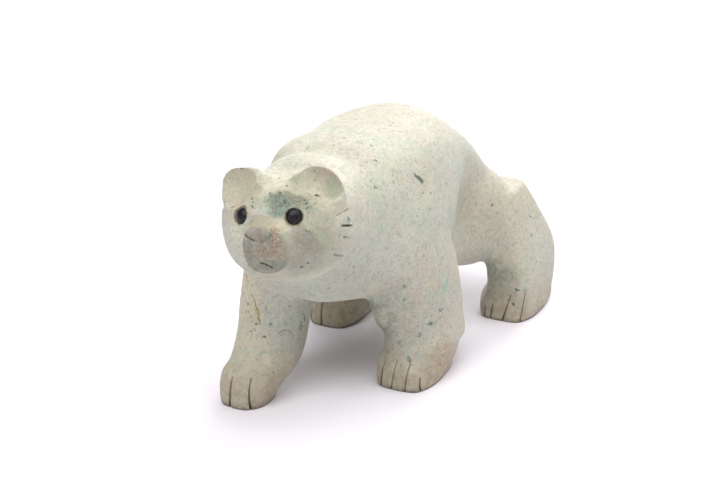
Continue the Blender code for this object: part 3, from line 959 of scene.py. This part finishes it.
# Broad patches of colour on the body: colour, strength, softness, middle, radii
BODY_PATCHES = [
    # A beige stain in the left flank's hollow, with painted shade of the hollow in it
    (BEIGE, 0.75, 0.9, (20, 39, 32), (10, 15, 17)),
    (BEIGE, 0.6, 0.9, (27, 8, 20), (7, 9, 26)),
    # Darker beige towards the bottom of the body
    (BEIGE, 0.5, 1.2, (0, 0, 0), (60, 90, 38)),
    # Painted shade on the chest under the head, in grey-brown
    (GREY_BROWN, 0.5, 1, (7, -29, 34), (13, 9, 9)),
    (GREY_BROWN, 0.3, 1, (19, -4, 25), (9, 12, 12)),
    # Grey-brown in the left flank's hollow: stain with painted shade
    (GREY_BROWN, 0.2, 1, (18, 35, 28), (8, 12, 14)),
    (GREEN_GREY, 0.55, 0.9, (21, 44, 10), (7, 6, 8)),
    (MINT, 0.7, 0.9, (-4, -30, 34), (16, 12, 12)),
    (YELLOW, 0.5, 0.9, (-17.5, -29, 25), (4.5, 6, 13)),
    (TAN, 0.75, 0.9, (23, 1, 6), (6, 10, 6)),
    (GREY_BROWN, 0.35, 0.9, (19, 46, 7), (6, 4, 10)),
    # Painted shade under the belly, on the right hind paw
    (PAW_SHADE, 0.72, 0.9, (-20, 25, 6), (9, 12, 12)),
    (BEIGE, 0.8, 1, (20, 58, 36), (12, 10, 10)),
    (BEIGE, 0.35, 1, (0, 20, 68), (18, 22, 8)),
    (YELLOW, 0.4, 0.9, (-16, -26, 31), (3, 5, 5)),
    (PINK, 0.3, 0.9, (-15, -27, 24), (5, 5, 7)),
    (STRAW, 0.7, 1, (-12, -30, 10), (7, 7, 8)),
    (MINT, 0.7, 1, (-8, -20, 22), (5, 8, 12)),
    (PALE_TEAL, 0.35, 0.8, (24.7, 1.3, 27.4), (3, 3.5, 4)),
    (PINK, 0.6, 1, (22, -7, 32), (6, 4, 6)),
]
# Smaller ones with ragged edges
BODY_TOUCHES = [
    (CREAM, 0.6, 1, (-9.1, -24.7, 27.5), (4.5, 5, 6)),
    (PALE_YELLOW, 0.7, 1, (-16.9, -26, 29.2), (4, 4, 5.5)),
    (CREAM, 0.4, 1, (-14.9, -29.1, 17.2), (3.5, 3, 4)),
    # Green-grey stone, with painted shade on the inner side of the left front leg
    (GREEN_GREY, 1, 1, (10, -6, 20.7), (4.6, 5.5, 8.5)),
    (OCHRE, 0.4, 0.9, (22.2, 1.4, 4.2), (3.2, 4.5, 4)),
    (CREAM, 0.5, 1, (22.5, 43.7, 22.3), (4, 4, 6)),
    (GREEN_GREY, 0.5, 0.9, (20.9, 44.5, 12.8), (4, 4, 5)),
]
# Broad patches on the head, in its own frame
HEAD_PATCHES = [
    (STRAW, 0.5, 1, (0, -5, 9), (13, 8, 5)),
    (STRAW, 0.45, 1.2, (8, -9, -2), (12, 10, 12)),
    (PALE_TEAL, 0.5, 1, (1.6, -10.4, 6.9), (5, 4.5, 3)),
    (GREY_BROWN, 0.3, 0.9, (8.8, -7.6, 6.6), (4, 4, 3.5)),
    (GREY_BROWN, 0.55, 0.8, (6.6, -12.6, -0.9), (3, 3.5, 5.5)),
    (GREY_BROWN, 0.4, 0.9, (8.6, -11.6, -4.8), (5, 4.5, 4.5)),
    (GREY_BROWN, 0.3, 0.9, (13.5, -7.6, -4), (5, 5.5, 6)),
    (GREY_BROWN, 0.25, 0.9, (0, -12, -8.5), (11, 6, 3.5)),
    (YELLOW, 0.5, 0.8, (3.5, -13.5, 4.4), (3, 3, 1.5)),
    (PINK, 0.7, 0.9, (-6.5, -9, 7.6), (4, 4, 3)),
    (PINK, 0.5, 0.9, (-10.6, -6.1, 6.5), (3, 4, 4)),
]
# Smudges on the muzzle
MOUTH_SMUDGES = [
    (MOUTH_GREY, 0.7, 0.9, (0.9, -15.4, -4.4), (3.3, 2.5, 1.5)),
    (MOUTH_GREY, 0.5, 0.9, (-3.8, -15.3, -2.4), (1.3, 2.5, 3.6)),
    (MOUTH_GREY, 0.45, 0.9, (3.6, -15.4, -3.9), (2.2, 2.5, 1.8)),
]
# Patches with ragged edges on the ears, on the left cheek and over the left eye
BROW_PATCHES = [
    (EAR_BROWN, 0.6, 0.8, (12.8, -1.5, 11.8), (3.8, 3, 2.4)),
    (EAR_BROWN, 0.25, 0.8, (-9.9, -1.2, 12.6), (5, 3, 1.8)),
    (EAR_OLIVE, 0.85, 0.8, (13.6, -2, 9.3), (2.2, 2.6, 2.6)),
    (EAR_OLIVE, 0.45, 0.9, (5.8, -1.6, 10.7), (3.4, 3, 1.8)),
    (GREY_BROWN, 0.6, 0.9, (10.8, -10, -1), (3.8, 4, 3.6)),
    (GREY_BROWN, 0.95, 0.9, (9.4, -11, 1.4), (3.3, 3.3, 3.1)),
    (OLIVE, 0.45, 1, (12.5, -5.8, 5.2), (3.4, 3.4, 3.2)),
    (NOSE_TOP, 0.85, 0.9, (-0.2, -13.2, 5.5), (4.4, 2.2, 1.5)),
    (GREY_BROWN, 0.35, 1, (11.8, -8.6, 3), (4.2, 3.6, 3.4)),
    (BROW_GREY, 0.95, 0.9, (3.8, -7.7, 8.8), (3.8, 3.2, 2.1)),
    (BROW_GREY, 0.65, 0.9, (7.4, -6.3, 8.1), (2.6, 2.5, 1.7)),
    (BROW_TEAL, 0.9, 1, (3.8, -10.2, 7.1), (3, 2.6, 1.6)),
    (BROW_TEAL, 0.22, 1, (-0.5, -8.6, 8.4), (3.4, 2.2, 1.8)),
    (GREEN_GREY, 0.4, 0.9, (9.6, -7.6, 6), (1.7, 1.7, 1.5)),
]
# Spots and streaks by colour: half width and place, or both ends; their strength and softness
SPOT_STRENGTH, SPOT_SOFTNESS = 0.85, 0.5
BODY_SPOTS = {
    RUST: [
        (0.33, (-12, -28.2, 18.3), (-11.5, -28.1, 18)),
        (0.35, (-13.3, -29.8, 14.2), (-13, -29.8, 13.8)),
    ],
    DARK_GREEN: [
        (0.35, (-14, -30, 14.1), (-13.8, -30, 13.8)),
        (0.35, (-14.4, -27.8, 21.4), (-14.2, -27.8, 21.4)),
        (0.3, (-15.5, -28.5, 19), (-15.5, -28.5, 19.2)),
        (0.3, (-16.5, -28, 21.5), (-16.5, -28, 21.7)),
        (0.5, (-7.1, -17, 21.6), (-7.2, -15.6, 19.1)),
        (0.62, (17.8, -2.9, 57.7), (19, -1.2, 55.6)),
        (0.4, (6.3, 3, 67.9), (6.5, 4.2, 67.8)),
        (0.3, (8.3, -9.4, 66.1), (8.7, -9, 66.1)),
        (0.28, (11.3, -12.5, 63.6), (11.7, -12.5, 63.6)),
        (0.35, (20.9, -4.7, 5.7), (20.9, -4.7, 5.5)),
        (0.3, (17.3, -7.2, 2.6)),
        (0.25, (15, -7.2, 4.4)),
        (0.35, (25.9, 47.3, 27.8), (25.9, 47.5, 27.8)),
        (0.3, (26.9, 48.8, 27.4), (26.9, 49.2, 27.4)),
        (0.3, (27.5, 50.8, 27.1), (27.5, 51, 27.1)),
        (0.3, (26.4, 47.4, 26.6)),
        (0.35, (27.2, 48.8, 26.3), (27.2, 49, 26.3)),
        (0.6, (24.9, 44.5, 13.6), (25, 44.5, 13)),
        (0.5, (26.7, 45.5, 10.3), (27.2, 45.7, 10.2)),
        (0.45, (25.6, 46.1, 5.9), (26.2, 46.1, 5.9)),
    ],
    TEAL: [
        (0.7, (-7.4, -17.6, 19), (-7.4, -17.6, 17)),
        (0.5, (-4.6, -22.9, 66.2), (-4.4, -22.9, 66.2)),
        (0.5, (-5.4, -16.6, 65.5), (-5.4, -16.4, 65.5)),
        (0.5, (-2.2, -27, 66.5), (-2, -27, 66.5)),
        (0.35, (12.7, 2.1, 64.9), (12.7, 2.7, 64.9)),
        (0.4, (14.1, -18.4, 58.7), (14.1, -17.6, 58.5)),
        (0.6, (22.7, -4.9, 19.2), (23.4, -4.1, 19.2)),
        (0.5, (20.9, -6.4, 15.8), (20.9, -6.4, 16.8)),
        (0.5, (24, -2.2, 22.3), (24.7, -1.2, 22.1)),
        (0.5, (15.5, -7.1, 13), (15.5, -7.1, 13.6)),
        (0.5, (18.1, -6.1, 8.6), (18.1, -6.1, 9.6)),
        (0.5, (18.2, -9.8, 30.4)),
        (0.5, (17.55, -8.8, 26.4), (17.65, -8.8, 26.4)),
        (0.35, (19.7, -6.4, 10.8), (19.7, -6.4, 10.6)),
        (0.5, (28.4, 51.6, 24.7), (28.4, 51.8, 24.7)),
        (0.5, (26.7, 47, 24.8)),
    ],
    OCHRE: [
        (0.33, (-14.9, -26.8, 25.6), (-13.5, -27.5, 22)),
    ],
    DUSTY_BROWN: [
        (0.45, (-17.2, -26.5, 25.8), (-17.1, -26.6, 25.2)),
        (0.4, (-16.5, -26.9, 24.8), (-16.6, -26.9, 23.8)),
        (0.45, (-17.4, -26.5, 23.6), (-17.3, -26.6, 23.2)),
        (0.4, (-16.3, -27, 22.4), (-15.8, -27.2, 22.6)),
        (0.4, (-14.7, -28, 19.8), (-14.3, -28.2, 19)),
    ],
    LIGHT_BEIGE: [
        (1.1, (-10.8, -29.3, 13.2), (-10.4, -29, 10.8)),
    ],
    SEA_GREEN: [
        (0.75, (24.5, 2.4, 29.2), (24.6, -0.6, 26.4)),
        (0.42, (22.3, -1.2, 41.2), (23.4, 0.3, 34.4)),
    ],
    YELLOW: [
        (0.7, (7, 3, 67.6), (7.8, 3.4, 67.6)),
    ],
    ORANGE: [
        (0.6, (23.6, 0.5, 6.7), (23.6, 0.5, 7.1)),
    ],
}
# The same on the head, in its own frame
HEAD_SPOTS = {
    DARK_GREEN: [
        (0.35, (9.5, -3, 7.9), (10.6, -2.6, 7.6)),
    ],
    TEAL: [
        (0.35, (15.7, -1, 1.7), (16, -0.2, 0.4)),
    ],
    OCHRE: [
        (0.4, (5.3, -11.3, 3.9), (5.5, -11, 4.3)),
    ],
    PALE_LEAF: [
        (1.15, (9.6, -9.6, 3.2), (12.9, -7.8, -1.8)),
    ],
    MUZZLE_GREY: [
        (0.4, (9.6, -10.5, 2.4), (9.8, -10.5, 2)),
    ],
}
# Dark specks on the head: radius and middle, and half of their length through the skin
HEAD_SPECKS = [
    (0.32, (9.1, -0.6, 13)),
    (0.3, (10.8, -0.9, 12.8)),
    (0.26, (9, -1.1, 11)),
    (0.26, (12.5, -1.4, 11.8)),
    (0.3, (-9.7, -0.1, 13.5)),
    (0.42, (4.1, -8.2, 8.2)),
    (0.32, (4.3, -7.1, 8.9)),
    (0.36, (7.9, -5.7, 7.9)),
    (0.34, (8.5, -6.3, 7.5)),
    (0.3, (9.1, -7.4, 6.6)),
    (0.26, (2.4, -6, 9.6)),
    (0.34, (-4.5, -7.1, 8.8)),
    (0.26, (-3.7, -8.4, 8.2)),
    (0.3, (-3.6, -9.6, 7.5)),
    (0.28, (2.8, -3.1, 10.4)),
    (0.28, (-1.1, 1.1, 10.7)),
]
SPECK_DEPTH = Vector((0.3, -0.9, 0.4))
# Thin streaks on the head, with clean edges
HEAD_STREAKS = {
    GREEN_GREY: [
        (0.25, (12.8, -6.5, 2.2), (14.5, -4.1, 3.3)),
        (0.3, (14.5, -4.1, 3.3), (15.6, 0.8, 3)),
        (0.35, (15.4, -3.6, -2.2), (15.3, 0.5, -4.2)),
        (0.35, (13.5, -6.2, -5.6), (14.2, -2.8, -7.4)),
        (0.3, (-0.2, -15, 1.2), (2.2, -14.9, 2.7)),
    ],
    PALE_TEAL: [
        (0.35, (15.3, 0.5, -4.2), (15.2, 4.4, -6.4)),
    ],
    MUZZLE_BROWN: [
        (0.4, (-13.95, -1.6, 11.2), (-13.6, -2.9, 8)),
    ],
    OLIVE: [
        (0.3, (9.8, -8.9, 4.5), (11.6, -8.6, 2.7)),
        (0.25, (11.6, -8.6, 2.7), (12.8, -7.7, 1.7)),
    ],
    DASH_BROWN: [
        (0.34, (15.35, -3.3, 0.5), (16.15, 0.3, -1)),
    ],
}
# The colour of the cement: how many times deeper than wide it is, softness, strength
CEMENT_DEPTH, CEMENT_SOFTNESS, CEMENT_STRENGTH = 1 / 0.3, 0.17, 0.85

# The finish of the stone: roughness by noise, and faint scratches as how noise bends them, their
# turn in degrees, radii, noise, the step of it, and their share of the relief
STONE_ROUGHNESS = (0.3, 0.7, 0.44, 0.62)
SCRATCHES = ((0.08, 16), (20, 35, 15), (5, 0.5, 0.5), (1, 3, 0.6), (0.35, 0.65), 0.6)
STONE_BUMP = {"Strength": 0.22, "Distance": 0.0003}

# The beads: scratches as above, wear and its roughness, and colours with the scratches' strength
BEAD_SCRATCHES = ((0.8, 1), (0, 30, 40), (2.5, 0.12, 0.25), (1, 2, 0.5), (0.66, 0.74), 0.35)
BEAD_WEAR, BEAD_TONE, BEAD_ROUGHNESS = (1.6, 3.0, 0.6), (0.35, 0.7), (0.3, 0.7, 0.3, 0.45)
BEAD_BLACK, BEAD_WORN, BEAD_SCRATCH = (0.006, 0.006, 0.009), (0.02, 0.02, 0.024), (0.22, 0.24, 0.26)
BEAD_SPECULAR = 0.25
BEAD_BUMP = {"Strength": 0.1, "Distance": 0.0001}

# The floor: colour, how much lighter it gets, its noise, roughness, and half width in metres
FLOOR, FLOOR_LIGHTER, FLOOR_NOISE = (0.85, 0.825, 0.90), 0.008, (3.0, 2.0, 0.5)
FLOOR_ROUGHNESS, FLOOR_REACH = 0.7, 3

# The camera's place and nearest view in metres, and its turn and angle of view in degrees
CAMERA_PLACE, CAMERA_NEAR = (0.1966, -0.4126, 0.2096), 0.01
CAMERA_TURN, CAMERA_ANGLE = (69, 0, 26), 22

# Soft lights, all aimed at the bear: place and size in metres, power in watts
LIGHTS = {
    "front_top": ((0, -0.6, 1), 0.9, 12.8),
    "right_top": ((0.5, 0, 1), 0.9, 6.8),
    "back_top": ((0, 1, 0.7), 0.8, 7.4),
    "back_wall": ((0, 1.1, 0.35), 0.8, 3.4),
    "left_wall": ((-0.8, 0.8, 0.35), 0.8, 4.8),
    "right_low": ((1, 0.4, 0.2), 0.5, 0.9),
    "front": ((0, -1.1, 0.35), 0.8, 0.5),
}
AIM = Vector((0, 0, 0.03))
LIGHT_COLOUR = (1, 0.985, 0.965)
WORLD = {"Color": (0.97, 0.955, 0.99, 1), "Strength": 0.01}


class Nodes:
    """A material whose shader nodes are added by short calls, with their inputs linked or set."""

    def __init__(self, name):
        self.material = bpy.data.materials.new(name)
        self.material.use_nodes = True
        self.tree = self.material.node_tree
        self.shader = self.tree.nodes["Principled BSDF"]

    def put(self, socket, value):
        if isinstance(value, bpy.types.NodeSocket):
            self.tree.links.new(value, socket)
        elif socket.type == "RGBA":
            socket.default_value = (*value, 1)
        else:
            socket.default_value = value

    def add(self, kind, inputs, **settings):
        node = self.tree.nodes.new("ShaderNode" + kind)
        for key, value in settings.items():
            setattr(node, key, value)
        for key, value in inputs.items():
            self.put(node.inputs[key], value)
        return node

    def math(self, operation, a, b=0.0):
        return self.add("Math", {0: a, 1: b}, operation=operation).outputs[0]

    def times(self, first, *others):
        for other in others:
            first = self.math("MULTIPLY", first, other)
        return first

    def vector(self, operation, a, b):
        return self.add("VectorMath", {0: a, 1: b}, operation=operation).outputs[0]

    def axes(self, coords):
        return self.add("SeparateXYZ", {0: coords}).outputs

    def placed(self, coords, middle, turn=(0, 0, 0), radii=(1, 1, 1)):
        """The coordinates seen from a turned and stretched frame."""
        inputs = {"Vector": coords, "Location": middle, "Rotation": turn, "Scale": radii}
        return self.add("Mapping", inputs, vector_type="TEXTURE").outputs[0]

    def noise(self, coords, scale, detail=2.0, roughness=0.5, output="Fac"):
        inputs = {"Vector": coords, "Scale": scale, "Detail": detail, "Roughness": roughness}
        return self.add("TexNoise", inputs).outputs[output]

    def noises(self, coords, rows):
        """The noises of a table, by name."""
        return {
            name: self.noise(self.placed(coords, place) if any(place) else coords, *settings)
            for name, (place, *settings) in rows.items()
        }

    def shifted(self, coords, scale, amount):
        """The coordinates, pushed about by noise."""
        push = self.noise(coords, scale, output="Color")
        push = self.vector("SUBTRACT", push, (0.5, 0.5, 0.5))
        return self.vector("ADD", coords, self.vector("MULTIPLY", push, (amount,) * 3))

    def step(self, value, low, high, to_low=0.0, to_high=1.0):
        """A smooth step between low and high."""
        limits = {"From Min": low, "From Max": high, "To Min": to_low, "To Max": to_high}
        inputs = {"Value": value, **limits}
        return self.add("MapRange", inputs, interpolation_type="SMOOTHSTEP").outputs["Result"]

    def mix(self, share, a, b):
        node = self.add("Mix", {}, data_type="RGBA")
        for socket, value in zip((node.inputs[0], node.inputs[6], node.inputs[7]), (share, a, b)):
            self.put(socket, value)
        return node.outputs[2]

    def patch(self, coords, middle, radii, softness, turn=(0, 0, 0), to_high=1.0):
        """0 outside an ellipsoid, rising to to_high inside it."""
        outer, inner = 1 + softness / 2, 1 - softness / 2
        reach = tuple(radius * outer for radius in radii)
        ball = {"Vector": self.placed(coords, middle, turn, reach)}
        depth = self.add("TexGradient", ball, gradient_type="SPHERICAL").outputs["Fac"]
        return self.step(depth, 0, 1 - inner / outer, 0, to_high)

    def streak(self, coords, half_width, start, end=None):
        """1 near a place, or near the line between two ends, fading to 0 away from it."""
        if not end:
            return self.patch(coords, start, (half_width,) * 3, SPOT_SOFTNESS)
        start, end = Vector(start), Vector(end)
        turn = (end - start).to_track_quat("X", "Z").to_euler()
        radii = ((end - start).length / 2 + half_width, half_width, half_width)
        return self.patch(coords, (start + end) / 2, radii, SPOT_SOFTNESS, turn)

    def flecks(self, coords, scale, size, share):
        """Scattered flecks: cells per unit, size in cells, share of the cells that have one."""
        cells = self.add("TexVoronoi", {"Vector": coords, "Scale": scale, "Randomness": 1.0})
        chance = self.add("SeparateColor", {0: cells.outputs["Color"]}).outputs
        grown = self.times(self.math("ADD", chance[1], FLECK_LEAST), size)
        near = self.step(self.math("DIVIDE", cells.outputs["Distance"], grown), *FLECK_EDGE)
        return self.times(near, self.math("LESS_THAN", chance[0], share))

    def scratches(self, coords, bend, turn, radii, noise, edges):
        """Long thin marks: noise stretched along a turned frame, on bent coordinates."""
        turn = tuple(math.radians(angle) for angle in turn)
        place = self.placed(self.shifted(coords, *bend), (0, 0, 0), turn, radii)
        return self.step(self.noise(place, *noise), *edges)

    def finish(self, colour, roughness, bump):
        """Give the shader its colour, its roughness and its bump."""
        normal = self.add("Bump", bump).outputs[0]
        for name, value in zip(("Base Color", "Roughness", "Normal"), (colour, roughness, normal)):
            self.put(self.shader.inputs[name], value)
        return self.material


def figure_coords(nodes):
    """Places on the piece in figure units."""
    place = nodes.add("TexCoord", {}).outputs["Object"]
    inputs = {"Vector": place, "Location": -SHIFT, "Scale": (1 / UNIT,) * 3}
    return nodes.add("Mapping", inputs, vector_type="POINT").outputs[0]


def patched(nodes, colour, coords, rows):
    """The colour with the patches of a table on it."""
    for patch_colour, strength, softness, middle, radii in rows:
        mask = nodes.patch(coords, middle, radii, softness, to_high=strength)
        colour = nodes.mix(mask, colour, patch_colour)
    return colour


def mottled(nodes, colour, noises, rows, *areas):
    """The colour mottled by the noises of a table, within the areas."""
    for name, low, high, strength, new_colour in rows:
        share = nodes.times(nodes.step(noises[name], low, high, 0, strength), *areas)
        colour = nodes.mix(share, colour, new_colour)
    return colour


def spotted(nodes, colour, coords, table):
    """The colour with the spots on it, one mask for each of their colours."""
    for spot_colour, rows in table.items():
        joined, *masks = [nodes.streak(coords, *row) for row in rows]
        for mask in masks:
            joined = nodes.math("MAXIMUM", joined, mask)
        colour = nodes.mix(nodes.times(joined, SPOT_STRENGTH), colour, spot_colour)
    return colour


def muzzle(nodes, colour, head, wavy, ragged, noises):
    """The colour with the front of the muzzle, the nose and the red web beside it."""
    x, y, z = nodes.axes(head)[:3]

    def front_of(steps):
        return nodes.times(nodes.step(y, *steps[0]), nodes.step(x, *steps[1]))

    blurred = nodes.times(nodes.patch(wavy, *MUZZLE_BLUR), MUZZLE_BLUR_STRENGTH)
    front = nodes.math("MAXIMUM", front_of(MUZZLE_FRONT), blurred)
    rim = nodes.times(front_of(MUZZLE_RIM), MUZZLE_RIM_STRENGTH)
    colour = nodes.mix(rim, colour, CHALK)
    tone = nodes.mix(nodes.step(noises["muzzle"], *MUZZLE_TONE), MUZZLE_GREY, MUZZLE_BROWN)
    colour = nodes.mix(nodes.times(front, MUZZLE_STRENGTH), colour, tone)

    middle, slope, lowest, edge, strength = NOSE_PAD
    lower = nodes.times(nodes.math("ABSOLUTE", nodes.math("ADD", x, middle)), slope)
    above = nodes.math("SUBTRACT", nodes.math("SUBTRACT", z, lower), lowest)
    pad = nodes.times(nodes.step(above, *edge), front, strength)
    colour = nodes.mix(pad, colour, NOSE_BROWN)
    colour = patched(nodes, colour, wavy, MOUTH_SMUDGES)

    cells, web, breaks, area, strength = VEINS
    inputs = {"Vector": ragged, "Scale": cells}
    veins = nodes.add("TexVoronoi", inputs, feature="DISTANCE_TO_EDGE").outputs[0]
    veins = nodes.times(nodes.step(veins, *web), nodes.step(noises["middling"], *breaks))
    veins = nodes.times(veins, nodes.patch(wavy, *area), strength)
    return nodes.mix(veins, colour, NOSE_RED)


def head_colours(nodes, colour, head, wavy, ragged, noises):
    """The colour with the ears, cheeks, muzzle, nose and brow, and a rougher grain over them."""
    ear_tone = nodes.mix(nodes.step(noises["ears"], *EAR_TONE), OLIVE, EAR_BROWN)
    for side, middle in EAR_FRONTS.items():
        facet = facet_frame(side)
        reach = tuple(EAR_COLOUR_REACH * radius for radius in EAR_FACET[3])
        scoop = nodes.patch(ragged, facet.translation, reach, SCOOP_SOFTNESS, facet.to_euler())
        ear = nodes.patch(ragged, middle, EAR_FRONT_RADII, EAR_SOFTNESS)
        share = nodes.times(scoop, ear, nodes.step(noises["cloud"], *EAR_CLOUD))
        colour = nodes.mix(share, colour, ear_tone)
    colour = patched(nodes, colour, wavy, HEAD_PATCHES)
    colour = muzzle(nodes, colour, head, wavy, ragged, noises)
    colour = patched(nodes, colour, ragged, BROW_PATCHES)
    brow, face = nodes.patch(head, *BROW_AREA), nodes.patch(head, *HEAD_AREA)
    colour = mottled(nodes, colour, noises, BROW_MOTTLING, brow)
    return mottled(nodes, colour, noises, HEAD_MOTTLING, face)


def marks(nodes, colour, ragged, head, ragged_head):
    """The colour with flecks of several kinds, and the spots that have a place of their own."""
    for place, scale, low, high, strength, fleck_colour in FLECKS:
        blots = nodes.noise(nodes.placed(ragged, place), scale, *FLECK_DETAIL)
        colour = nodes.mix(nodes.step(blots, low, high, 0, strength), colour, fleck_colour)
    place, *shape, strength = SPARSE_FLECKS
    sparse = nodes.times(nodes.flecks(nodes.placed(ragged, place), *shape), strength)
    colour = nodes.mix(sparse, colour, DARK_GREEN)
    colour = spotted(nodes, colour, ragged, BODY_SPOTS)
    colour = spotted(nodes, colour, ragged_head, HEAD_SPOTS)
    specks = [
        (radius, Vector(middle) + SPECK_DEPTH, Vector(middle) - SPECK_DEPTH)
        for radius, middle in HEAD_SPECKS
    ]
    colour = spotted(nodes, colour, ragged_head, {DARK_GREEN: specks})
    return spotted(nodes, colour, head, HEAD_STREAKS)


def cement(nodes, colour, figure, eyes, noises):
    """The colour with the cement round the beads."""
    for side, eye in eyes.items():
        offset, reach = CEMENT[side]
        middle = eye.translation + head_frame().to_3x3() @ Vector(offset)
        radii = (reach, reach, reach * CEMENT_DEPTH)
        place = nodes.shifted(figure, *RAGGED_CEMENT)
        turn = eye.to_euler()
        around = nodes.patch(place, middle, radii, CEMENT_SOFTNESS, turn, CEMENT_STRENGTH)
        tone = nodes.mix(nodes.step(noises["fine"], *CEMENT_TONE), CEMENT_DARK, CEMENT_OLIVE)
        colour = nodes.mix(around, colour, tone)
    return colour


def stone_material(eyes):
    nodes = Nodes("carved_turquoise")
    figure = figure_coords(nodes)
    head = nodes.placed(figure, HEAD_PLACE, tuple(head_frame().to_euler()))
    wavy, wavy_head = nodes.shifted(figure, *WAVES_OF_BODY), nodes.shifted(head, *WAVES_OF_HEAD)
    ragged, ragged_head = nodes.shifted(figure, *RAGGED_EDGES), nodes.shifted(head, *RAGGED_EDGES)
    height, level = nodes.axes(wavy)[2], nodes.axes(ragged)[2]
    noises = nodes.noises(figure, BODY_NOISES) | nodes.noises(ragged_head, HEAD_NOISES)

    # Cream on top, mint below, with broad drifts between them
    by_height, by_noise = nodes.step(height, *MINT_BELOW), nodes.step(noises["broad"], *MINT_DRIFT)
    colour = nodes.mix(nodes.math("ADD", by_height, by_noise), CREAM, MINT)
    colour = patched(nodes, colour, wavy, BODY_PATCHES)
    colour = patched(nodes, colour, ragged, BODY_TOUCHES)
    colour = mottled(nodes, colour, noises, MOTTLING)

    # Brown paws, darkest along the soles with dirt and painted contact shade
    brown = nodes.mix(nodes.step(noises["middling"], *PAW_TONE), PAW_OLIVE, PAW_BROWN)
    colour = nodes.mix(nodes.step(height, *PAW_BELOW), colour, brown)
    colour = nodes.mix(nodes.step(level, *SOLE_DIRT_AND_SHADE_BELOW), colour, SOLE_DIRT_AND_SHADE)

    colour = head_colours(nodes, colour, head, wavy_head, ragged_head, noises)
    colour = marks(nodes, colour, ragged, head, ragged_head)
    colour = cement(nodes, colour, figure, eyes, noises)
    dark = nodes.add("Attribute", {}, attribute_name="dark").outputs["Fac"]
    colour = nodes.mix(dark, colour, GROOVE)

    *shape, share = SCRATCHES
    scratches = nodes.scratches(figure, *shape)
    relief = nodes.math("ADD", nodes.times(scratches, share), noises["fine"])
    roughness = nodes.step(noises["middling"], *STONE_ROUGHNESS)
    return nodes.finish(colour, roughness, {**STONE_BUMP, "Height": relief})


def bead_material():
    nodes = Nodes("black_bead")
    figure = figure_coords(nodes)
    *shape, strength = BEAD_SCRATCHES
    scratches = nodes.scratches(figure, *shape)
    worn = nodes.noise(figure, *BEAD_WEAR)
    colour = nodes.mix(nodes.step(worn, *BEAD_TONE), BEAD_BLACK, BEAD_WORN)
    colour = nodes.mix(nodes.times(scratches, strength), colour, BEAD_SCRATCH)
    nodes.shader.inputs["Specular IOR Level"].default_value = BEAD_SPECULAR
    roughness = nodes.step(worn, *BEAD_ROUGHNESS)
    return nodes.finish(colour, roughness, {**BEAD_BUMP, "Height": scratches})


def floor_material():
    nodes = Nodes("backdrop")
    place = nodes.add("TexCoord", {}).outputs["Object"]
    lighter = tuple(value + FLOOR_LIGHTER for value in FLOOR)
    colour = nodes.mix(nodes.noise(place, *FLOOR_NOISE), FLOOR, lighter)
    nodes.put(nodes.shader.inputs["Base Color"], colour)
    nodes.shader.inputs["Roughness"].default_value = FLOOR_ROUGHNESS
    return nodes.material


def dress(obj, material, node):
    """Let a piece with this material stand for a node of the solid."""
    obj.data.materials.append(material)
    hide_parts(node)
    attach(obj, "root")


stone, eyes = stone_and_eyes()
dress(stone, stone_material(eyes), "bear_body")
black = bead_material()
for side, name in ((1, "left"), (-1, "right")):
    dress(bead(name + "_bead", eyes[side]), black, name + "_eye")

corners = [(-1, -1, 0), (1, -1, 0), (1, 1, 0), (-1, 1, 0)]
floor_mesh = bpy.data.meshes.new("floor")
floor_mesh.from_pydata([FLOOR_REACH * Vector(corner) for corner in corners], [], [(0, 1, 2, 3)])
floor = new_object("floor", floor_mesh)
floor.data.materials.append(floor_material())

camera_data = bpy.data.cameras.new("camera")
camera_data.angle = math.radians(CAMERA_ANGLE)
camera_data.clip_start = CAMERA_NEAR
camera = new_object("camera", camera_data)
camera.location = CAMERA_PLACE
camera.rotation_euler = [math.radians(angle) for angle in CAMERA_TURN]
bpy.context.scene.camera = camera

for name, (place, size, power) in LIGHTS.items():
    data = bpy.data.lights.new(name, "AREA")
    data.size = size
    data.energy = power
    data.color = LIGHT_COLOUR
    lamp = new_object(name, data)
    lamp.location = place
    lamp.rotation_euler = (AIM - lamp.location).to_track_quat("-Z", "Y").to_euler()

world = bpy.data.worlds.new("world")
world.use_nodes = True
for name, value in WORLD.items():
    world.node_tree.nodes["Background"].inputs[name].default_value = value
bpy.context.scene.world = world
bpy.context.scene.view_settings.view_transform = "Standard"
